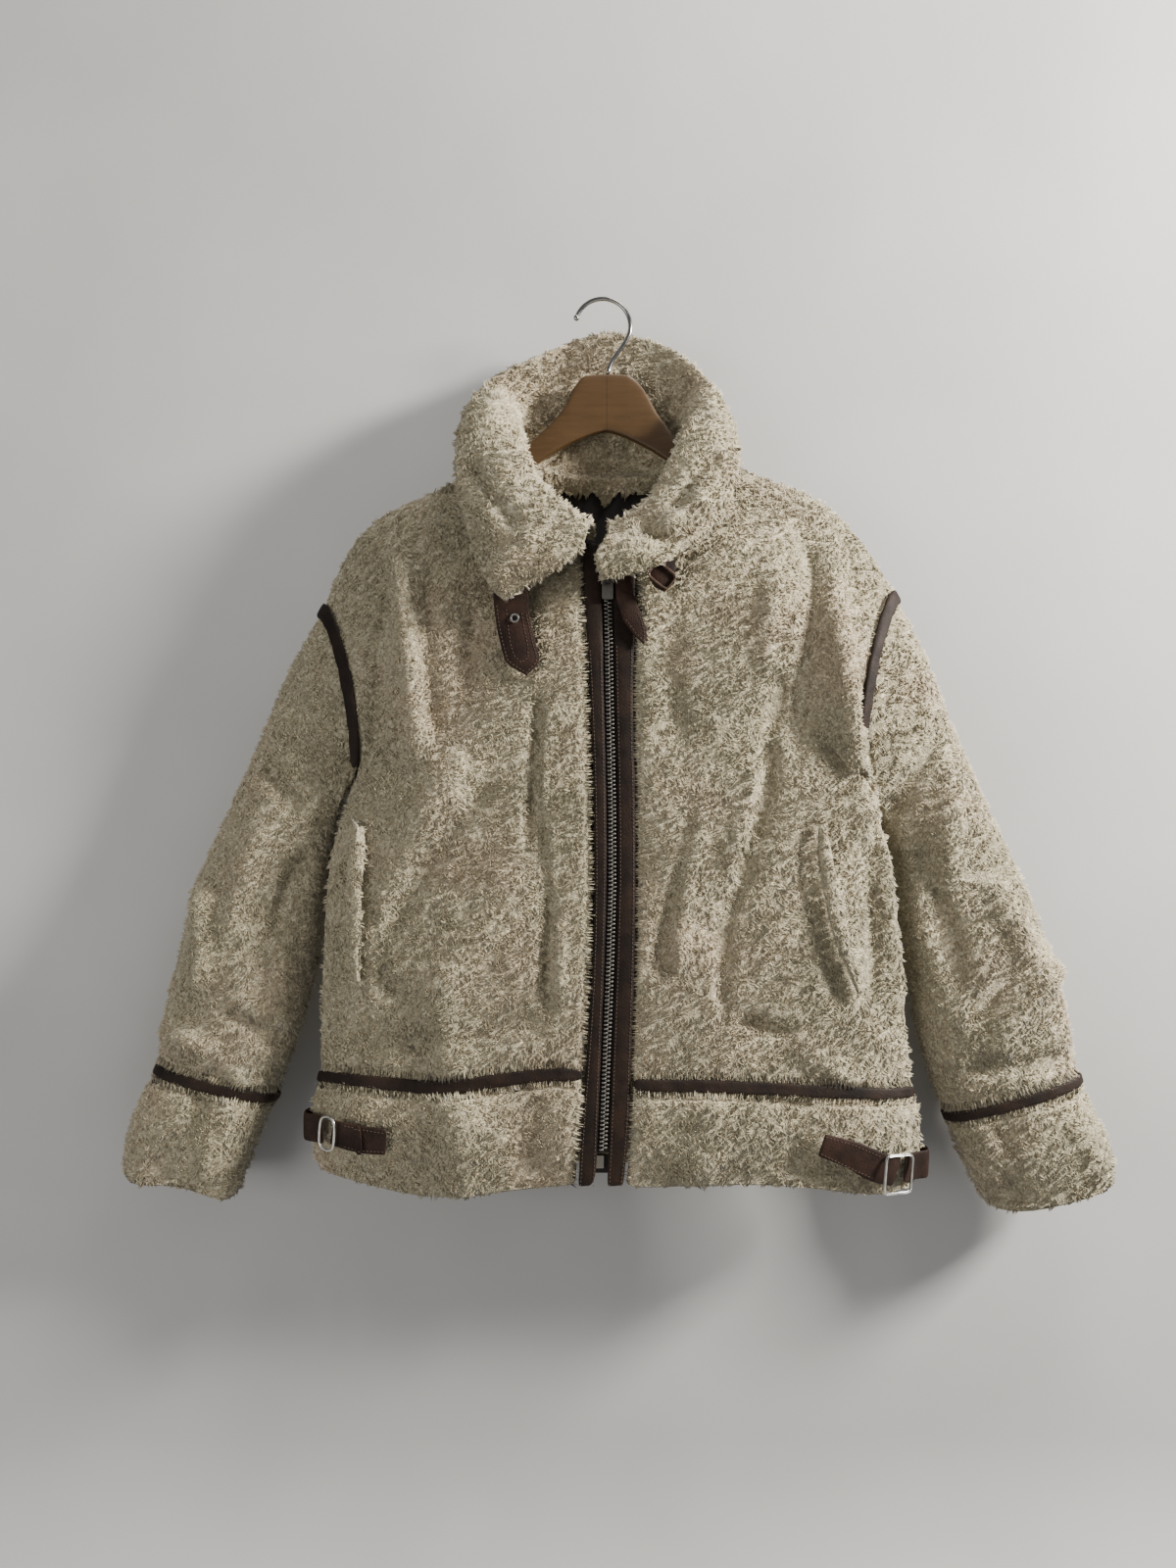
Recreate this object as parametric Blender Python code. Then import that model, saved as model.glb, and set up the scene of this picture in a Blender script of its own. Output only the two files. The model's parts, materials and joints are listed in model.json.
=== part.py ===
"""A sheepskin flying jacket that hangs on a wooden hanger.

The frame has +X to the right of someone who faces the jacket's front, +Y towards its back and +Z up. The
origin is the inside top of the hanger's hook. All sizes below are in millimetres.

Each cloth piece is a wall between two grids of points: the outer one is the tips of the pile, and the inner
one lies a wall's thickness behind it. Pieces that are sewn together share the points of their seam.
"""

import math

import bmesh
import bpy
import numpy as np
from mathutils import Matrix, Vector
from mathutils.bvhtree import BVHTree

MM = 0.001

# Driving dimensions of the cloth
FLEECE_WALL = 9.0
COLLAR_WALL = 13.0
LEATHER = 2.6
SEAM_DROP = 4.5
SIDE_SEAM_DROP = 2.0
HEM_GROOVE = 5.2
GROOVE = 6.2
PILE_EDGE = 9.0
SEAM_GAP = 0.15
LIFT = 0.9
RIDGE = 18.0
SIDE_HOLLOW = 1.0
ARMHOLE_GAP = 0.4
UNDERARM_STAND_OFF = 2.0
SOFTEN = (0.15, 0.2, 0.3, 0.2, 0.15)
PLACKET_LEVEL = 4.5
CHAIN_WIDTH = 8.5
ARMHOLE_DEPTH = 25.0
BELOW_SHOULDER = 70.0
BELOW_NECK = 55.0
SIDE_SLOPE = 0.15
BAND_GAP = 0.4
BAND_CROWN = 0.5

# Colours in linear light, and the rest of each finish
FLEECE = ("fleece", (0.62, 0.55, 0.43), 0.95, 0.0)
BROWN_LEATHER = ("brown_leather", (0.035, 0.021, 0.015), 0.5, 0.0)
DARK_CLOTH = ("dark_cloth", (0.02, 0.014, 0.011), 0.85, 0.0)
STEEL = ("steel", (0.62, 0.61, 0.58), 0.3, 1.0)
WOOD = ("wood", (0.42, 0.22, 0.08), 0.45, 0.0)


def table(columns, *rows):
    """A table with named columns, each an array."""
    return dict(zip(columns.split(), np.array(rows, float).T))


def read(rows, key, at, *columns):
    """Values of the named columns where the key column has these values, on smooth curves through the rows."""
    order = np.argsort(rows[key])
    x = rows[key][order]
    at = np.clip(np.asarray(at, float), x[0], x[-1])
    found = []
    for column in columns:
        y = rows[column][order]
        slope = np.gradient(y, x) if len(x) > 2 else np.full(2, (y[1] - y[0]) / (x[1] - x[0]))
        i = np.clip(np.searchsorted(x, at, side="right") - 1, 0, len(x) - 2)
        h = x[i + 1] - x[i]
        t = (at - x[i]) / h
        found.append(
            y[i] * (2 * t**3 - 3 * t**2 + 1)
            + slope[i] * h * (t**3 - 2 * t**2 + t)
            + y[i + 1] * (3 * t**2 - 2 * t**3)
            + slope[i + 1] * h * (t**3 - t**2)
        )
    return found[0] if len(found) == 1 else found


# The body. Left is the side at -X.
SIDE_EDGE = {
    "left": table(
        "z x y",
        (-690, -252, -22),
        (-606, -250, -21),
        (-545, -248, -20),
        (-500, -244, -20),
        (-470, -237, -18),
        (-445, -226, -15),
    ),
    "right": table(
        "z x y",
        (-703, 275, -23),
        (-640, 269, -22),
        (-571, 260, -21),
        (-503, 250, -20),
        (-465, 245, -18),
        (-440, 236, -15),
    ),
}
SHOULDER_POINT = {"left": (-256, 0, -275), "right": (268, 0, -262)}
UNDERARM = {"left": (-226, -15, -445), "right": (236, -15, -440)}
SCOOP = {"front": 20.0, "back": 10.0}
TOP_EDGE = {
    "left": table(
        "x y z",
        (-20, -42, -223),
        (-42, -39, -204),
        (-62, -32, -184),
        (-83, -19, -158),
        (-96, 0, -133),
        (-114, 0, -146),
        (-136, 0, -160),
        (-165, 0, -174),
        (-192, 0, -184),
        (-216, 0, -200),
        (-235, 0, -224),
        (-248, 0, -250),
        (-256, 0, -275),
    ),
    "right": table(
        "x y z",
        (29, -42, -219),
        (45, -39, -203),
        (63, -32, -184),
        (83, -19, -158),
        (96, 0, -131),
        (114, 0, -142),
        (136, 0, -153),
        (165, 0, -161),
        (192, 0, -172),
        (220, 0, -193),
        (241, 0, -219),
        (257, 0, -242),
        (268, 0, -262),
    ),
}
BACK_NECK = table("x y z", (-96, 0, -133), (-76, 17, -143), (-38, 22, -155), (4, 23, -158), (42, 22, -155),
                  (76, 17, -143), (96, 0, -131))
NECK_POINT = 96.0
NECK_CENTRE = (2.0, 0.0, -100.0)
PLACKET_EDGE = {
    "left": table("z x", (-776, -23), (-727, -20), (-676, -16), (-600, -11), (-517, -9), (-430, -10),
                  (-350, -13), (-245, -19), (-215, -20)),
    "right": table("z x", (-778, 18), (-727, 23), (-670, 25), (-585, 28), (-460, 29), (-360, 27), (-275, 29),
                   (-215, 29)),
}
ZIP_LINE = table("z x", (-778, -2), (-735, 0), (-670, 2.5), (-585, 5.8), (-520, 7.7), (-460, 7.6), (-360, 5.5),
                 (-275, 4), (-215, 3))
BACK_MIDDLE = 4.0
CHEST_DEPTH = {
    "front": table("z y", (-790, -60), (-690, -59), (-600, -56), (-450, -50), (-300, -45), (-200, -41)),
    "back": table("z y", (-790, 20), (-690, 20), (-500, 20), (-300, 20), (-200, 20)),
}
CHEST_ROUND = {"front": 2.6, "back": 1.7}
HEM_SEAM = table("x z", (-260, -685), (-182, -691), (-140, -693), (-89, -686), (-38, -680), (23, -689),
                 (105, -692), (189, -697), (280, -704))
HEM_EDGE = table("x z", (-262, -770), (-205, -778), (-165, -786), (-140, -789), (-105, -785), (-60, -779),
                 (-23, -776), (19, -778), (140, -777), (190, -782), (225, -788), (255, -790), (283, -781))
HEM_SWELL = {"front": 5.0, "back": 3.0}
HEM_SPREAD = {"front": 0.012, "back": 0.006}
# Rows of the hem's band: how far down, how far the pile drops there, and the share of the wall's thickness.
HEM_ROWS = table("part drop thick", (0.0, SEAM_DROP, 1.0), (0.06, SEAM_DROP, 1.0), (0.1, 0.4, 1.0), (0.3, 0, 1.0),
                 (0.55, 0, 1.0), (0.8, 0.3, 1.0), (0.93, 2.0, 0.95), (1.0, 4.6, 0.72))
LOWER_ROWS = (0.16, 0.31, 0.46, 0.61, 0.76, 0.89)
# Where the columns of a half panel meet the neck edge and the shoulder
NECK_COLUMNS = {
    "front": {"left": (-20, -42, -62, -83), "right": (29, 45, 63, 83)},
    "back": {"left": (4, -38, -76), "right": (4, 42, 76)},
}
SHOULDER_COLUMNS = {
    "left": (-96, -120, -148, -178, -206, -232, -256),
    "right": (96, 120, 148, 178, 208, 238, 268),
}
# A panel turns round its side edge: how full the turn is, and the most of it that the edge columns take.
EDGE_TURN = {"full": 0.62, "pile": 0.62, "groove": 0.42, "steps": 14}
ARMHOLE_ANGLES = tuple(180 - 22.5 * step for step in range(1, 9))

# Large folds of the body. Height is outward; a fold with a negative height is a trough.
FOLDS = {
    "front": table(
        "x0 z0 x1 z1 width height",
        (-62, -370, -50, -640, 9, -5),
        (-176, -230, -168, -410, 13, 7),
        (-196, -235, -186, -400, 9, -5),
        (-120, -420, -200, -560, 22, 4),
        (-96, -560, -180, -680, 20, -4),
        (-128, -600, -132, -690, 22, 7),
        (205, -235, 200, -400, 13, 8),
        (178, -235, 176, -400, 10, -4),
        (150, -350, 142, -430, 9, -6),
        (142, -430, 105, -610, 10, -6),
        (72, -470, 55, -585, 10, 4),
        (190, -480, 216, -615, 9, 5),
        (206, -480, 232, -610, 8, -5),
        (105, -640, 165, -650, 12, -4),
    ),
    "back": table(
        "x0 z0 x1 z1 width height",
        (-120, -230, -60, -420, 22, -4),
        (128, -225, 80, -430, 24, -4),
        (-30, -480, -52, -680, 20, -4),
        (60, -520, 82, -690, 18, -4),
        (-150, -560, -165, -690, 16, -4),
        (10, -200, 6, -330, 18, -3),
    ),
}

# Sleeves and cuffs, a row for each ring: its outer and inner point seen from the front, the depth of its
# middle, and half its thickness from front to back.
SLEEVE = {
    "left": table(
        "s xo zo xi zi y half",
        (0, -256, -275, -226, -445, -3, 25),
        (1, -282, -320, -237, -474, 3, 28),
        (2, -311, -389, -243, -511, 8, 31),
        (3, -343, -460, -247, -554, 9, 33),
        (4, -374, -528, -253, -598, 8, 34),
        (5, -388, -585, -262, -638, 6, 34),
        (6, -400, -645, -276, -678, 5, 31),
        (7, -405, -687, -289, -716, 4, 28),
    ),
    "right": table(
        "s xo zo xi zi y half",
        (0, 268, -262, 236, -440, -3, 25),
        (1, 292, -312, 247, -472, 3, 28),
        (2, 316, -372, 254, -510, 8, 31),
        (3, 345, -438, 260, -556, 9, 33),
        (4, 376, -500, 268, -600, 8, 34),
        (5, 402, -563, 277, -645, 6, 34),
        (6, 421, -634, 289, -695, 5, 31),
        (7, 433, -696, 304, -733, 4, 28),
    ),
}
SLEEVE_STEPS = (0.7, 1.3, 1.9, 2.5, 3.1, 3.7, 4.3, 4.9, 5.5, 6.0, 6.45)
CUFF = {
    "left": table(
        "s xo zo xi zi y half",
        (0, -405, -687, -289, -716, 4, 28),
        (1, -424, -722, -299, -736, 3, 32),
        (2, -433, -750, -309, -762, 3, 33),
        (3, -436, -783, -322, -800, 3, 31),
    ),
    "right": table(
        "s xo zo xi zi y half",
        (0, 433, -696, 304, -733, 4, 28),
        (1, 449, -732, 312, -757, 3, 32),
        (2, 461, -756, 323, -781, 3, 33),
        (3, 467, -788, 340, -814, 3, 31),
    ),
}
CUFF_STEPS = (0.55, 1.1, 1.8, 2.4, 2.75)
CUFF_END = 3.0
CUFF_DROP = {"edge": 4.0, "near": 1.2}
CUFF_EXTRA = 1.5
RING_SQUARE = {"wide": 0.92, "deep": 0.88}
ARMHOLE_REACH = 1.5
UNDERARM_POINTS = 1.5
# Lobes of the cuff's open edge: where round the ring, how wide in degrees, and how far down.
CUFF_LOBES = {
    "left": table("angle width drop", (50, 30, 5), (96, 22, -5), (140, 30, 9), (250, 40, 4)),
    "right": table("angle width drop", (60, 34, 5), (110, 26, 6), (150, 24, 4), (250, 40, 5)),
}
# Folds across the sleeves: ring number, place round the ring in degrees, slant, widths and height.
SLEEVE_FOLDS = {
    "left": table(
        "s angle slant ds da height",
        (0.9, 60, 0.010, 0.35, 60, -4),
        (1.9, 110, -0.012, 0.4, 55, 4),
        (4.3, 150, 0.010, 0.25, 50, -6),
        (4.9, 90, 0.012, 0.3, 60, 4),
        (5.6, 60, 0.008, 0.22, 70, -5),
        (6.2, 120, -0.008, 0.3, 70, 4),
        (3.4, 270, 0.010, 0.35, 70, -5),
        (5.3, 250, -0.010, 0.3, 70, -5),
    ),
    "right": table(
        "s angle slant ds da height",
        (0.8, 70, 0.012, 0.3, 55, -5),
        (1.7, 120, -0.010, 0.4, 60, 4),
        (3.9, 60, 0.010, 0.3, 55, -5),
        (4.6, 120, 0.014, 0.28, 60, 4),
        (5.3, 80, 0.010, 0.22, 70, -5),
        (6.1, 110, -0.010, 0.3, 70, 4),
        (3.0, 260, 0.010, 0.35, 70, -5),
        (5.0, 280, -0.010, 0.3, 70, -5),
    ),
}

# The collar, a row for each station: the number of its neck point, and the middle of its wall at the top of
# the roll, half way down the leaf and at the free edge.
COLLAR = table(
    "n rx ry rz lx ly lz ex ey ez",
    (0, -10, -57, -213, -19, -68, -244, -79, -66, -279),
    (2, -30, -56, -199, -62, -69, -232, -101, -59, -254),
    (3, -49, -48, -183, -84, -62, -199, -117, -51, -209),
    (4, -63, -36, -151, -95, -46, -152, -127, -36, -158),
    (5, -76, -16, -110, -101, -22, -103, -124, -14, -107),
    (6, -74, 10, -98, -89, 6, -80, -99, 4, -69),
    (7, -38, 19, -96, -44, 19, -66, -48, 17, -41),
    (8, 1, 21, -92, 0, 21, -55, -1, 20, -22.5),
    (9, 44, 19, -94, 51, 19, -62, 56, 17, -34.5),
    (10, 73, 10, -98, 83, 6, -79, 91, 4, -67),
    (11, 77, -14, -106, 97, -18, -104, 113, -12, -108.5),
    (12, 57, -34, -150, 90, -42, -150, 118.5, -32, -155),
    (13, 44, -46, -184, 74, -58, -196, 99, -48, -207),
    (14, 24, -54, -203, 42, -68, -228, 58, -62, -241),
    (16, 2, -57, -213, -3, -70, -242, 2, -68, -262),
)
COLLAR_STEP = 0.5
COLLAR_PROFILE = (0.0, 0.5, 1.0, 1.5, 1.85, 2.15, 2.5, 2.9, 3.3, 3.7, 4.0)
COLLAR_FOOT = 9.0
COLLAR_SWELL = (0.62, 0.68, 0.7, 0.75, 0.8, 0.85, 0.94, 1, 1, 1.02, 0.98)
COLLAR_RIM = {"near": 0.3, "tip": 0.5, "half": 0.38}
# The collar's two ends run on past the neck seam, across the plackets.
COLLAR_ENDS = {"left": (14.0, 0, -2.0), "right": (-26.0, 0, -2.0)}
NECK_POINT_STATIONS = (5, 11)
NECK_POINT_RISE = 3.0
NECK_POINT_SPREAD = 1.1
NECK_POINT_LEAN = 0.1

# Depth of the collar straps: at the seam, how much they lean, and the height where the lean starts and ends
STRAP_LEAN = {
    "left": {"y": -54.6, "lean": 3.5, "top": -268.0, "long": 30.0},
    "right": {"y": -44.0, "lean": -3.2, "top": -254.0, "long": 60.0},
}
BUCKLE_STRAP_Y = -53.6
# Straps of the collar, as outlines seen from the front
LEFT_STRAP = ((-94, -262), (-93.7, -281), (-91.2, -300), (-88.7, -312), (-84.5, -328), (-80, -333), (-66, -341),
              (-57, -333), (-54.3, -326), (-58.5, -311), (-61, -300), (-63.5, -288), (-65.2, -262))
RIGHT_STRAP = ((10, -254), (11, -275), (17, -293), (25.4, -304.7), (34.6, -314), (37, -309), (37.1, -301),
               (34.6, -293), (31, -284), (26.2, -271), (23, -254))
BUCKLE_STRAP = ((38, -236), (39, -258), (43, -265), (52, -270), (61, -262), (62, -234))
EYELET = {"x": -76.0, "z": -292.0, "outer": 4.2, "hole": 2.4, "thick": 0.8, "proud": 0.9, "bevel": 0.6,
          "lip": 0.4, "seat": 0.2, "sides": 20}
COLLAR_BUCKLE = {"x": 50.0, "z": -256.0, "wide": 21.0, "high": 15.0, "wire": 2.2, "turn": -38.0, "proud": 0.35}

# Hem straps: middle line on the front and width
HEM_STRAP_LEFT = table("t x z width", (0, -184, -738, 22), (1, -208, -736, 24), (2, -233, -732, 22))
HEM_STRAP_RIGHT = table("t x z width", (0, 184, -739, 20), (1, 212, -749, 24), (2, 232, -760, 27),
                        (3, 252, -766, 27))
STRAP_LIFT = 1.5
STRAP_CROWN = 0.5
KEEPER_LEATHER = 1.8
TAB_LIFT = 1.25
# The turn of a side tab round the hem's edge
TAB_TURN = {"inset": 4.0, "back_inset": 5.0, "stand_off": 1.5, "radius": 4.5, "degrees": (-50, -15, 20, 55)}
HEM_KEEPER_LEFT = table("t x z width", (0, -208.5, -722.5, 6), (1, -207.5, -749.5, 6))
HEM_BUCKLE_LEFT = {"x": -236.5, "z": -732.5, "wide": 15.0, "high": 29.0, "wire": 2.6, "turn": -4.0, "corner": 6.0,
                   "proud": 0.6}
HEM_BUCKLE_RIGHT = {"x": 252.0, "z": -767.0, "wide": 26.0, "high": 32.0, "wire": 2.6, "turn": -5.0, "corner": 3.5,
                    "proud": 1.6}
SIDE_TAB = {
    "left": {"front": -240.0, "edge": -254.0, "back": -222.0, "z": -732.0, "width": 25.0},
    "right": {"front": 258.0, "edge": 277.0, "back": 240.0, "z": -765.0, "width": 27.0},
}
POCKET_WELT = {
    "left": table("t x z width", (0, -212, -468, 8), (1, -214, -500, 14), (2, -214, -560, 15), (3, -211, -606, 8)),
    "right": table("t x z width", (0, 187, -468, 8), (1, 191, -505, 14), (2, 203, -565, 15), (3, 220, -614, 8)),
}

POCKET_PILE = {"lift": 1.2, "thick": 0.8, "crown": 5.4, "parts": (-0.5, -0.4, -0.15, 0.15, 0.4, 0.5)}
FACING = {"gap": 0.4, "thick": 1.4}

# The plackets: their section from the zip to the outer edge, and their rows along the hem
PLACKET_SECTION = table("part rise", (0, 0), (0.12, 0.9), (0.5, 1.3), (0.88, 0.9), (1, 0))
PLACKET_HEM = {"low": -776.0, "high": -690.0, "rows": 4}
PLACKET_GAP = {"zip": 0.5, "edge": 1.2, "neck": 2.0}
# The fronts' middle line comes back to the neck and swells at the hem.
FRONT_TOP = {"y": -42.0, "z": -290.0, "long": 70.0}
FRONT_HEM = {"z": -695.0, "long": 20.0, "share": 0.5}
ZIP_TAPE = {"behind": 0.35, "thick": 1.1, "reach": (0.2, 5.5, 11.0)}
CHAIN_SECTION = table("part rise", (-1, -0.6), (-0.8, 0.3), (0.8, 0.3), (1, -0.6))

# The zip's slider and pull tab
SLIDER = {"z": -254.0, "wide": 11.0, "high": 15.0, "deep": 3.2, "seat": 0.9, "bevel": 1.0}
BRIDGE = {"wide": 2.2, "deep": 5.0, "high": 9.3, "sunk": 1.5, "slot_wide": 6.0, "slot_deep": 2.6, "slot_high": 3.4,
          "slot_out": 1.2}
PULL_TAB = {"wide": 9.6, "high": 22.0, "thick": 1.6, "hole_wide": 4.6, "hole_high": 7.0, "out": 1.3, "above": 1.2,
            "rim": 0.9, "corner": 1.6}

# The hanger
ARM_TOP = table("x z", (-206, -217), (-196, -209), (-176, -198), (-148, -184), (-120, -170), (-100, -157),
                (-84, -149), (-66, -128), (-53, -117), (-40, -104), (-31, -91), (-26, -77), (-16, -67.5),
                (3, -66), (24, -67.5), (34, -75), (41, -87), (48, -101), (58, -113), (72, -138), (86, -154),
                (100, -157), (120, -166), (148, -176), (176, -188), (196, -201), (206, -209))
ARM_UNDER = table("x z", (-206, -223), (-196, -232), (-176, -226), (-148, -212), (-120, -195), (-90, -173),
                  (-66, -152), (-40, -135), (-18, -124), (3, -120), (22, -124), (44, -135), (66, -150),
                  (90, -171), (120, -190), (148, -205), (176, -217), (196, -226), (206, -215))
HANGER_HALF = 5.5
HANGER_ROUND = 2.2
# The board's upright section, as shares of its half thickness and half height
HANGER_SECTION = table("y up", (-1, 0.78), (-0.72, 0.96), (0, 1), (0.72, 0.96), (1, 0.78), (1, -0.78),
                       (0.72, -0.96), (0, -1), (-0.72, -0.96), (-1, -0.78))
HOOK = {"radius": 24.8, "centre": -22.8, "wire": 2.0, "start": 160, "end": -20, "step": 12}
HOOK_NECK = table("x z", (21.2, -36), (16.5, -43), (11.2, -49.5), (7.2, -56), (5.2, -61), (4.6, -65.4))


def unit(v):
    """The vectors along the last axis, made one long."""
    v = np.asarray(v, float)
    return v / np.maximum(np.linalg.norm(v, axis=-1, keepdims=True), 1e-9)


def clear_scene():
    for thing in list(bpy.data.objects):
        bpy.data.objects.remove(thing, do_unlink=True)


def material(finish):
    name, colour, roughness, metallic = finish
    made = bpy.data.materials.get(name)
    if made:
        return made
    made = bpy.data.materials.new(name)
    made.use_nodes = True
    shader = made.node_tree.nodes["Principled BSDF"]
    shader.inputs["Base Color"].default_value = (*colour, 1.0)
    shader.inputs["Roughness"].default_value = roughness
    shader.inputs["Metallic"].default_value = metallic
    return made


def add_object(name, bm, finish, smooth=60.0):
    """An object of this bmesh, which is in millimetres, with its faces turned outwards."""
    bmesh.ops.recalc_face_normals(bm, faces=bm.faces[:])
    bmesh.ops.scale(bm, vec=(MM, MM, MM), verts=bm.verts[:])
    mesh = bpy.data.meshes.new(name)
    bm.to_mesh(mesh)
    bm.free()
    mesh.shade_smooth()
    mesh.set_sharp_from_angle(angle=math.radians(smooth))
    mesh.materials.append(material(finish))
    made = bpy.data.objects.new(name, mesh)
    bpy.context.scene.collection.objects.link(made)
    return made


def wall(name, outer, inner, finish, loop=False):
    """A closed wall between two grids of points. With loop, each row closes on itself."""
    bm = bmesh.new()
    rows, columns = outer.shape[:2]
    grids = [[[bm.verts.new(p) for p in row] for row in grid] for grid in (outer, inner)]
    wraps = columns if loop else columns - 1
    for r in range(rows - 1):
        for c in range(wraps):
            d = (c + 1) % columns
            for skin in grids:
                bm.faces.new((skin[r][c], skin[r][d], skin[r + 1][d], skin[r + 1][c]))
    out, back = grids
    for c in range(wraps):
        d = (c + 1) % columns
        for r in (0, rows - 1):
            bm.faces.new((out[r][c], out[r][d], back[r][d], back[r][c]))
    if not loop:
        for r in range(rows - 1):
            for c in (0, columns - 1):
                bm.faces.new((out[r][c], out[r + 1][c], back[r + 1][c], back[r][c]))
    return add_object(name, bm, finish)


def open_seams(grid, loop=False, gap=SEAM_GAP):
    """Draws a grid's borders back by half a seam's gap."""
    made = grid.copy()
    made[0] += unit(grid[1] - grid[0]) * gap
    made[-1] += unit(grid[-2] - grid[-1]) * gap
    if not loop:
        made[:, 0] += unit(grid[:, 1] - grid[:, 0]) * gap
        made[:, -1] += unit(grid[:, -2] - grid[:, -1]) * gap
    return made


def normals(grid, outward, loop=False):
    """Unit normals of a grid, turned so that they agree with the outward vectors."""
    along = np.gradient(grid, axis=0)
    if loop:
        across = (np.roll(grid, -1, axis=1) - np.roll(grid, 1, axis=1)) / 2
    else:
        across = np.gradient(grid, axis=1)
    found = unit(np.cross(across, along))
    return found * np.sign((found * outward).sum(axis=-1, keepdims=True) + 1e-12)


def fold_height(folds, x, z):
    """The height of the folds at a place seen from the front."""
    total = np.zeros(np.shape(x))
    for x0, z0, x1, z1, width, height in zip(*folds.values()):
        length = math.hypot(x1 - x0, z1 - z0)
        t = ((x - x0) * (x1 - x0) + (z - z0) * (z1 - z0)) / length**2
        off = ((x - x0) * (z1 - z0) - (z - z0) * (x1 - x0)) / length
        taper = np.clip(np.minimum(t, 1 - t) * 4 + 0.6, 0, 1)
        total = total + height * taper * taper * (3 - 2 * taper) * np.exp(-((off / width) ** 2))
    return total


def middle_of(face, side, z):
    """Where a panel's inner column lies."""
    if face == "back":
        return np.full(np.shape(z), BACK_MIDDLE)
    return read(PLACKET_EDGE[side], "z", z, "x")


def armhole(side, face):
    """The front or back half of an armhole, from the underarm to the shoulder point."""
    top, under = np.array(SHOULDER_POINT[side], float), np.array(UNDERARM[side], float)
    angle = np.radians(ARMHOLE_ANGLES)[:, None]
    centre, half = (top + under) / 2, (top - under) / 2
    towards_body = -math.copysign(1, top[0])
    depth = -ARMHOLE_DEPTH if face == "front" else ARMHOLE_DEPTH
    sideways = np.array((towards_body * SCOOP[face], depth, 0.0))
    return centre + half * np.cos(angle) + sideways * np.sin(angle)


def armhole_inward(side, points):
    """Directions through the wall at an armhole, shared by the body and the sleeve."""
    centre = (np.array(SHOULDER_POINT[side]) + np.array(UNDERARM[side])) / 2.0
    centre[0] -= math.copysign(32, centre[0])
    return unit(centre - points)


def side_column(side, face):
    """A panel's side edge from the hem seam up to the shoulder point."""
    edge = SIDE_EDGE[side]
    low, high = edge["z"].min(), edge["z"].max()
    z = [low, low + HEM_GROOVE, low + PILE_EDGE]
    z += [low + (high - low) * part for part in LOWER_ROWS]
    z += [high - GROOVE, high]
    z = np.array(z)
    x, y = read(edge, "z", z, "x", "y")
    lower = np.stack([x, y, z], axis=1)
    return np.concatenate([lower, armhole(side, face)])


def panel_y(face, side, x, z, side_x, side_y):
    """The depth of a panel's outer skin away from its top edge."""
    middle = middle_of(face, side, z)
    q = np.clip((x - middle) / (side_x - middle), 0, 1)
    power = CHEST_ROUND[face]
    deep = read(CHEST_DEPTH[face], "z", z, "y")
    y = side_y + (deep - side_y) * (1 - q**power) ** (1 / power)
    outward = -1 if face == "front" else 1
    return y + outward * fold_height(FOLDS[face], x, z) * np.clip((1 - q) * 8, 0, 1)


class Skin:
    """The outer skins of some walls, to find their depth at a place seen from the front."""

    def __init__(self, *grids):
        points, faces = [], []
        for grid in grids:
            start = len(points)
            rows, columns = grid.shape[:2]
            points += [tuple(p) for p in grid.reshape(-1, 3)]
            for r in range(rows - 1):
                for c in range(columns - 1):
                    a = start + r * columns + c
                    faces += [(a, a + 1, a + columns + 1), (a, a + columns + 1, a + columns)]
        self.tree = BVHTree.FromPolygons(points, faces)

    def depth(self, x, z, from_back=False):
        start, way = (Vector((x, 300, z)), Vector((0, -1, 0))) if from_back else (
            Vector((x, -300, z)), Vector((0, 1, 0)))
        hit = self.tree.ray_cast(start, way)[0]
        return hit.y if hit else None


def half_panel(face, side, top_x):
    """One half of a panel, as rows from hem to top and columns from the middle to the side edge."""
    column = side_column(side, face)
    n = len(column)
    rise = (column[:, 2] - column[0, 2]) / (column[-1, 2] - column[0, 2])
    edge = dict(TOP_EDGE[side])
    top = np.array([read(edge, "x", x, "x", "y", "z") for x in top_x])
    if face == "back":
        inside = np.abs(top[:, 0]) < NECK_POINT - 1
        neck = np.array([read(BACK_NECK, "x", x, "x", "y", "z") for x in np.array(top_x)])
        top[inside] = neck[inside]
    shoulder_x = SHOULDER_POINT[side][0]
    first = middle_of(face, side, top[0, 2])
    q = (top[:, 0] - first) / (shoulder_x - first)
    points = np.zeros((n, len(top_x), 3))
    padded = np.pad(column[:, 1], 2, mode="edge")
    side_depth = sum(weight * padded[k : k + n] for k, weight in enumerate(SOFTEN))
    for c, part in enumerate(q):
        low_x = middle_of(face, side, column[0, 2]) * (1 - part) + column[0, 0] * part
        low_z = read(HEM_SEAM, "x", low_x, "z")
        z = low_z + (top[c, 2] - low_z) * rise
        middle = middle_of(face, side, z)
        x = middle + (column[:, 0] - middle) * part
        if c == len(q) - 1:
            z, x = column[:, 2], column[:, 0]
        body = panel_y(face, side, x, z, column[:, 0], side_depth)
        below = top[c, 2] - z
        sign = -1 if face == "front" else 1
        if top[c, 1] == 0:
            round_part = np.sqrt(np.clip(1 - (1 - np.clip(below / RIDGE, 0, 1)) ** 2, 0, 1))
            blend = np.clip((below - RIDGE) / BELOW_SHOULDER, 0, 1)
            level = np.minimum(RIDGE, np.abs(column[:, 1]) + 40 * (1 - part))
            near = sign * level * round_part
            y = near + (body - near) * blend * blend * (3 - 2 * blend)
        else:
            blend = np.clip(below / BELOW_NECK, 0, 1)
            y = top[c, 1] + (body - top[c, 1]) * blend * blend * (3 - 2 * blend)
        if c == len(q) - 1:
            y = column[:, 1]
        points[:, c] = np.stack([x, y, z], axis=1)
    return add_edge_columns(points)


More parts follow.
